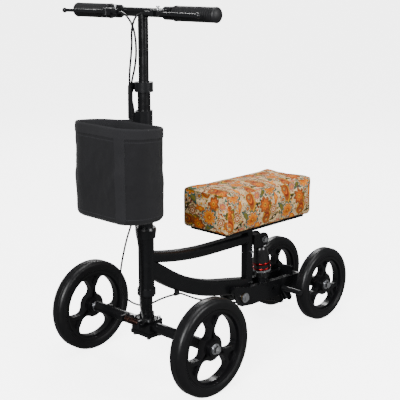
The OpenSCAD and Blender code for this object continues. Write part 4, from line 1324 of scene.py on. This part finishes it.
@dataclass
class Cushion:
    """The padded knee rest: a foam block that swells inside a sewn printed cover."""

    start_inset: float = 0.0022
    edge: float = 0.006
    voxel: float = 0.005
    pressure: float = 3.0
    cap: float = 0.0036
    welt: float = 0.0022
    cover: float = 0.0030

    def build(self, finishes: Finishes) -> list[bpy.types.Object]:
        """Builds and dresses the cushion and its welts.

        Args:
            finishes: The scooter's finishes.

        Returns:
            The cushion and its welts.
        """
        low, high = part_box("cushion")
        middle, size = (low + high) / 2, high - low
        pad = begin("cushion_pad", bpy.ops.mesh.primitive_cube_add, size=1.0, location=middle)
        with editing(pad, "EDGE"):
            bpy.ops.mesh.select_all(action="SELECT")
            bpy.ops.transform.resize(value=size - Vector((self.start_inset * 2,) * 3), center_override=middle)
            bpy.ops.mesh.bevel(offset=self.edge, segments=3, affect="EDGES")
        apply_modifier(pad, "REMESH", mode="VOXEL", voxel_size=self.voxel)
        rest = [v.co.copy() for v in pad.data.vertices]
        self.swell(pad)
        self.settle_shape(pad, rest, low, high)
        apply_modifier(pad, "SUBSURF", levels=1, render_levels=1)
        self.unwrap(pad, low, high)
        smooth(pad, 60.0)
        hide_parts("cushion")
        settle(pad, finishes, "cushion_cover", "seat")
        return [pad, *self.welts(pad, low, high, finishes)]

    def swell(self, pad: bpy.types.Object) -> None:
        """Blows the cover up a little with a cloth simulation and keeps the result.

        Args:
            pad: The remeshed block.
        """
        bpy.context.view_layer.objects.active = pad
        modifier = pad.modifiers.new("Cloth", "CLOTH")
        settings = modifier.settings
        settings.use_pressure = True
        settings.uniform_pressure_force = self.pressure
        settings.effector_weights.gravity = 0.0
        modifier.point_cache.frame_start = 1
        modifier.point_cache.frame_end = 20
        for number in range(1, 21):
            bpy.context.scene.frame_set(number)
        bpy.ops.object.modifier_apply(modifier=modifier.name)
        bpy.context.scene.frame_set(1)

    def settle_shape(self, pad: bpy.types.Object, rest: list[Vector], low: Vector, high: Vector) -> None:
        """Limits how far each point moved, and flattens the pad where it lies on its board.

        Args:
            pad: The swollen pad.
            rest: Where its points were before.
            low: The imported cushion's lowest corner.
            high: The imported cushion's highest corner.
        """
        middle = (low + high) / 2
        for vertex, start in zip(pad.data.vertices, rest):
            move = vertex.co - start
            if move.length > self.cap:
                move = move * (self.cap / move.length)
            spot = start + move
            soft = noise.fractal(spot * 18.0, 1.0, 2.0, 3) * 0.0008
            spot += (spot - middle).normalized() * soft
            vertex.co = spot
        self.fit(pad, low, high)

    def fit(self, pad: bpy.types.Object, low: Vector, high: Vector) -> None:
        """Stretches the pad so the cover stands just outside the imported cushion, and flattens its underside.

        Args:
            pad: The shaped pad.
            low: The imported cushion's lowest corner.
            high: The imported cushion's highest corner.
        """
        points = pad.data.vertices
        starts = [min(v.co[i] for v in points) for i in range(3)]
        ends = [max(v.co[i] for v in points) for i in range(3)]
        aims = [(low[i] - self.cover, high[i] + self.cover) for i in range(3)]
        for vertex in points:
            for i in range(3):
                share = (vertex.co[i] - starts[i]) / (ends[i] - starts[i])
                vertex.co[i] = aims[i][0] + share * (aims[i][1] - aims[i][0])
            vertex.co.z = max(vertex.co.z, low.z + 0.0006)

    def unwrap(self, pad: bpy.types.Object, low: Vector, high: Vector) -> None:
        """Gives each sewn panel its own flat map, in metres.

        Args:
            pad: The pad.
            low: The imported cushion's lowest corner.
            high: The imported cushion's highest corner.
        """
        layer = pad.data.uv_layers.new(name="UVMap")
        points = pad.data.vertices
        middle = (low + high) / 2
        half = (high - low) / 2
        for face in pad.data.polygons:
            rel = [(face.center[i] - middle[i]) / half[i] for i in range(3)]
            gap = [half[i] * (1 - abs(rel[i])) for i in range(3)]
            side = min(range(3), key=lambda i: gap[i])
            for loop in face.loop_indices:
                spot = points[pad.data.loops[loop].vertex_index].co
                if side == 2:
                    layer.data[loop].uv = (spot.x + 0.31, spot.y)
                elif side == 0:
                    layer.data[loop].uv = (spot.z + 0.057 * (1 + math.copysign(1, rel[0])), spot.y + 0.013)
                else:
                    layer.data[loop].uv = (spot.x + 0.085, spot.z + 0.041)

    def welts(
        self, pad: bpy.types.Object, low: Vector, high: Vector, finishes: Finishes
    ) -> list[bpy.types.Object]:
        """Builds the thin seams along the top edge and down the four corners.

        Args:
            pad: The finished pad.
            low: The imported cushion's lowest corner.
            high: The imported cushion's highest corner.
            finishes: The scooter's finishes.

        Returns:
            The seams.
        """
        corner = 0.004
        corners = [(low.x, low.y), (high.x, low.y), (high.x, high.y), (low.x, high.y)]
        ring: list[Vector] = []
        for (ax, ay), (bx, by) in zip(corners, corners[1:] + corners[:1]):
            ring += [Vector((ax + (bx - ax) * k / 40, ay + (by - ay) * k / 40, high.z)) for k in range(40)]
        ring.append(ring[0])
        runs = {"cushion_seam_top": ring}
        for number, (x, y) in enumerate(corners):
            heights = [high.z - corner - (high.z - low.z - 0.01) * k / 24 for k in range(25)]
            runs[f"cushion_seam_{number}"] = [Vector((x, y, z)) for z in heights]
        made = []
        for name, run in runs.items():
            route = []
            for spot in run:
                found, nearest, _, _ = pad.closest_point_on_mesh(spot)
                route.append(nearest if found else spot)
            piece = tube(name, rounded(route, 1), self.welt, 8)
            layer = piece.data.uv_layers.active or piece.data.uv_layers.new(name="UVMap")
            for loop in piece.data.loops:
                spot = piece.data.vertices[loop.vertex_index].co
                layer.data[loop.index].uv = (spot.x + 0.31 + spot.z, spot.y)
            made.append(settle(piece, finishes, "cushion_cover", "seat"))
        return made


@dataclass
class Studio:
    """The pale floor, the soft lights and the camera."""

    camera: Point = (1.7321, -1.8800, 1.0161)
    target: Point = (-0.0228, -0.0628, 0.4161)
    lens: float = 86.08
    sky: float = 0.22

    def build(self, finishes: Finishes) -> None:
        """Sets up the scene round the scooter.

        Args:
            finishes: The scooter's finishes.
        """
        floor = begin("floor", bpy.ops.mesh.primitive_plane_add, size=400.0, location=(0, 0, -0.0005))
        floor.data.materials.append(finishes.floor)
        # The floor glows to stay pale, and its glow isn't to light the scooter from below.
        floor.visible_glossy = False
        floor.visible_diffuse = False
        world = bpy.data.worlds.new("studio")
        world.use_nodes = True
        background = world.node_tree.nodes["Background"]
        background.inputs["Color"].default_value = (1.0, 1.0, 1.0, 1.0)
        background.inputs["Strength"].default_value = self.sky
        bpy.context.scene.world = world
        self.lamp("key", (1.3, -2.8, 1.7), 1.4, 185.0)
        self.lamp("fill", (3.0, 0.5, 1.5), 1.2, 80.0)
        self.lamp("back", (-2.4, 2.2, 2.4), 1.2, 60.0)
        self.lamp("top", (0.2, 0.0, 3.6), 1.8, 95.0)
        self.aim_camera()

    def lamp(self, name: str, spot: Point, size: float, power: float) -> None:
        """Adds one soft square light that faces the scooter.

        Args:
            name: The light's name.
            spot: Where it stands.
            size: The length of its side.
            power: Its power in watts.
        """
        data = bpy.data.lights.new(name, "AREA")
        data.size = size
        data.energy = power
        lamp = bpy.data.objects.new(name, data)
        lamp.location = spot
        lamp.rotation_euler = (Vector(self.target) - Vector(spot)).to_track_quat("-Z", "Y").to_euler()
        bpy.context.collection.objects.link(lamp)

    def aim_camera(self) -> None:
        """Adds the camera at the viewing place."""
        data = bpy.data.cameras.new("camera")
        data.lens = self.lens
        data.sensor_width = 36.0
        data.clip_end = 100.0
        camera = bpy.data.objects.new("camera", data)
        camera.location = self.camera
        camera.rotation_euler = (Vector(self.target) - Vector(self.camera)).to_track_quat("-Z", "Y").to_euler()
        bpy.context.collection.objects.link(camera)
        bpy.context.scene.camera = camera


def main() -> None:
    """Builds the scooter's looks in order."""
    logging.basicConfig(level=logging.INFO, format="%(name)s: %(message)s")
    finishes = Finishes()
    finishes.dress_frame()
    heights = {"front": 0.027, "rear": 0.025}
    for end, height in heights.items():
        for side in ("left", "right"):
            Tyre(f"{end}_{side}_tyre", f"{end}_{side}_wheel", height).build(finishes)
    Grip("left_grip", 1).build(finishes)
    Grip("right_grip", -1).build(finishes)
    Shock().build(finishes)
    BrakeSpring().build(finishes)
    for cable in cables():
        cable.build(finishes)
    Basket().build(finishes)
    Cushion().build(finishes)
    Studio().build(finishes)


if __name__ == "__main__":
    main()
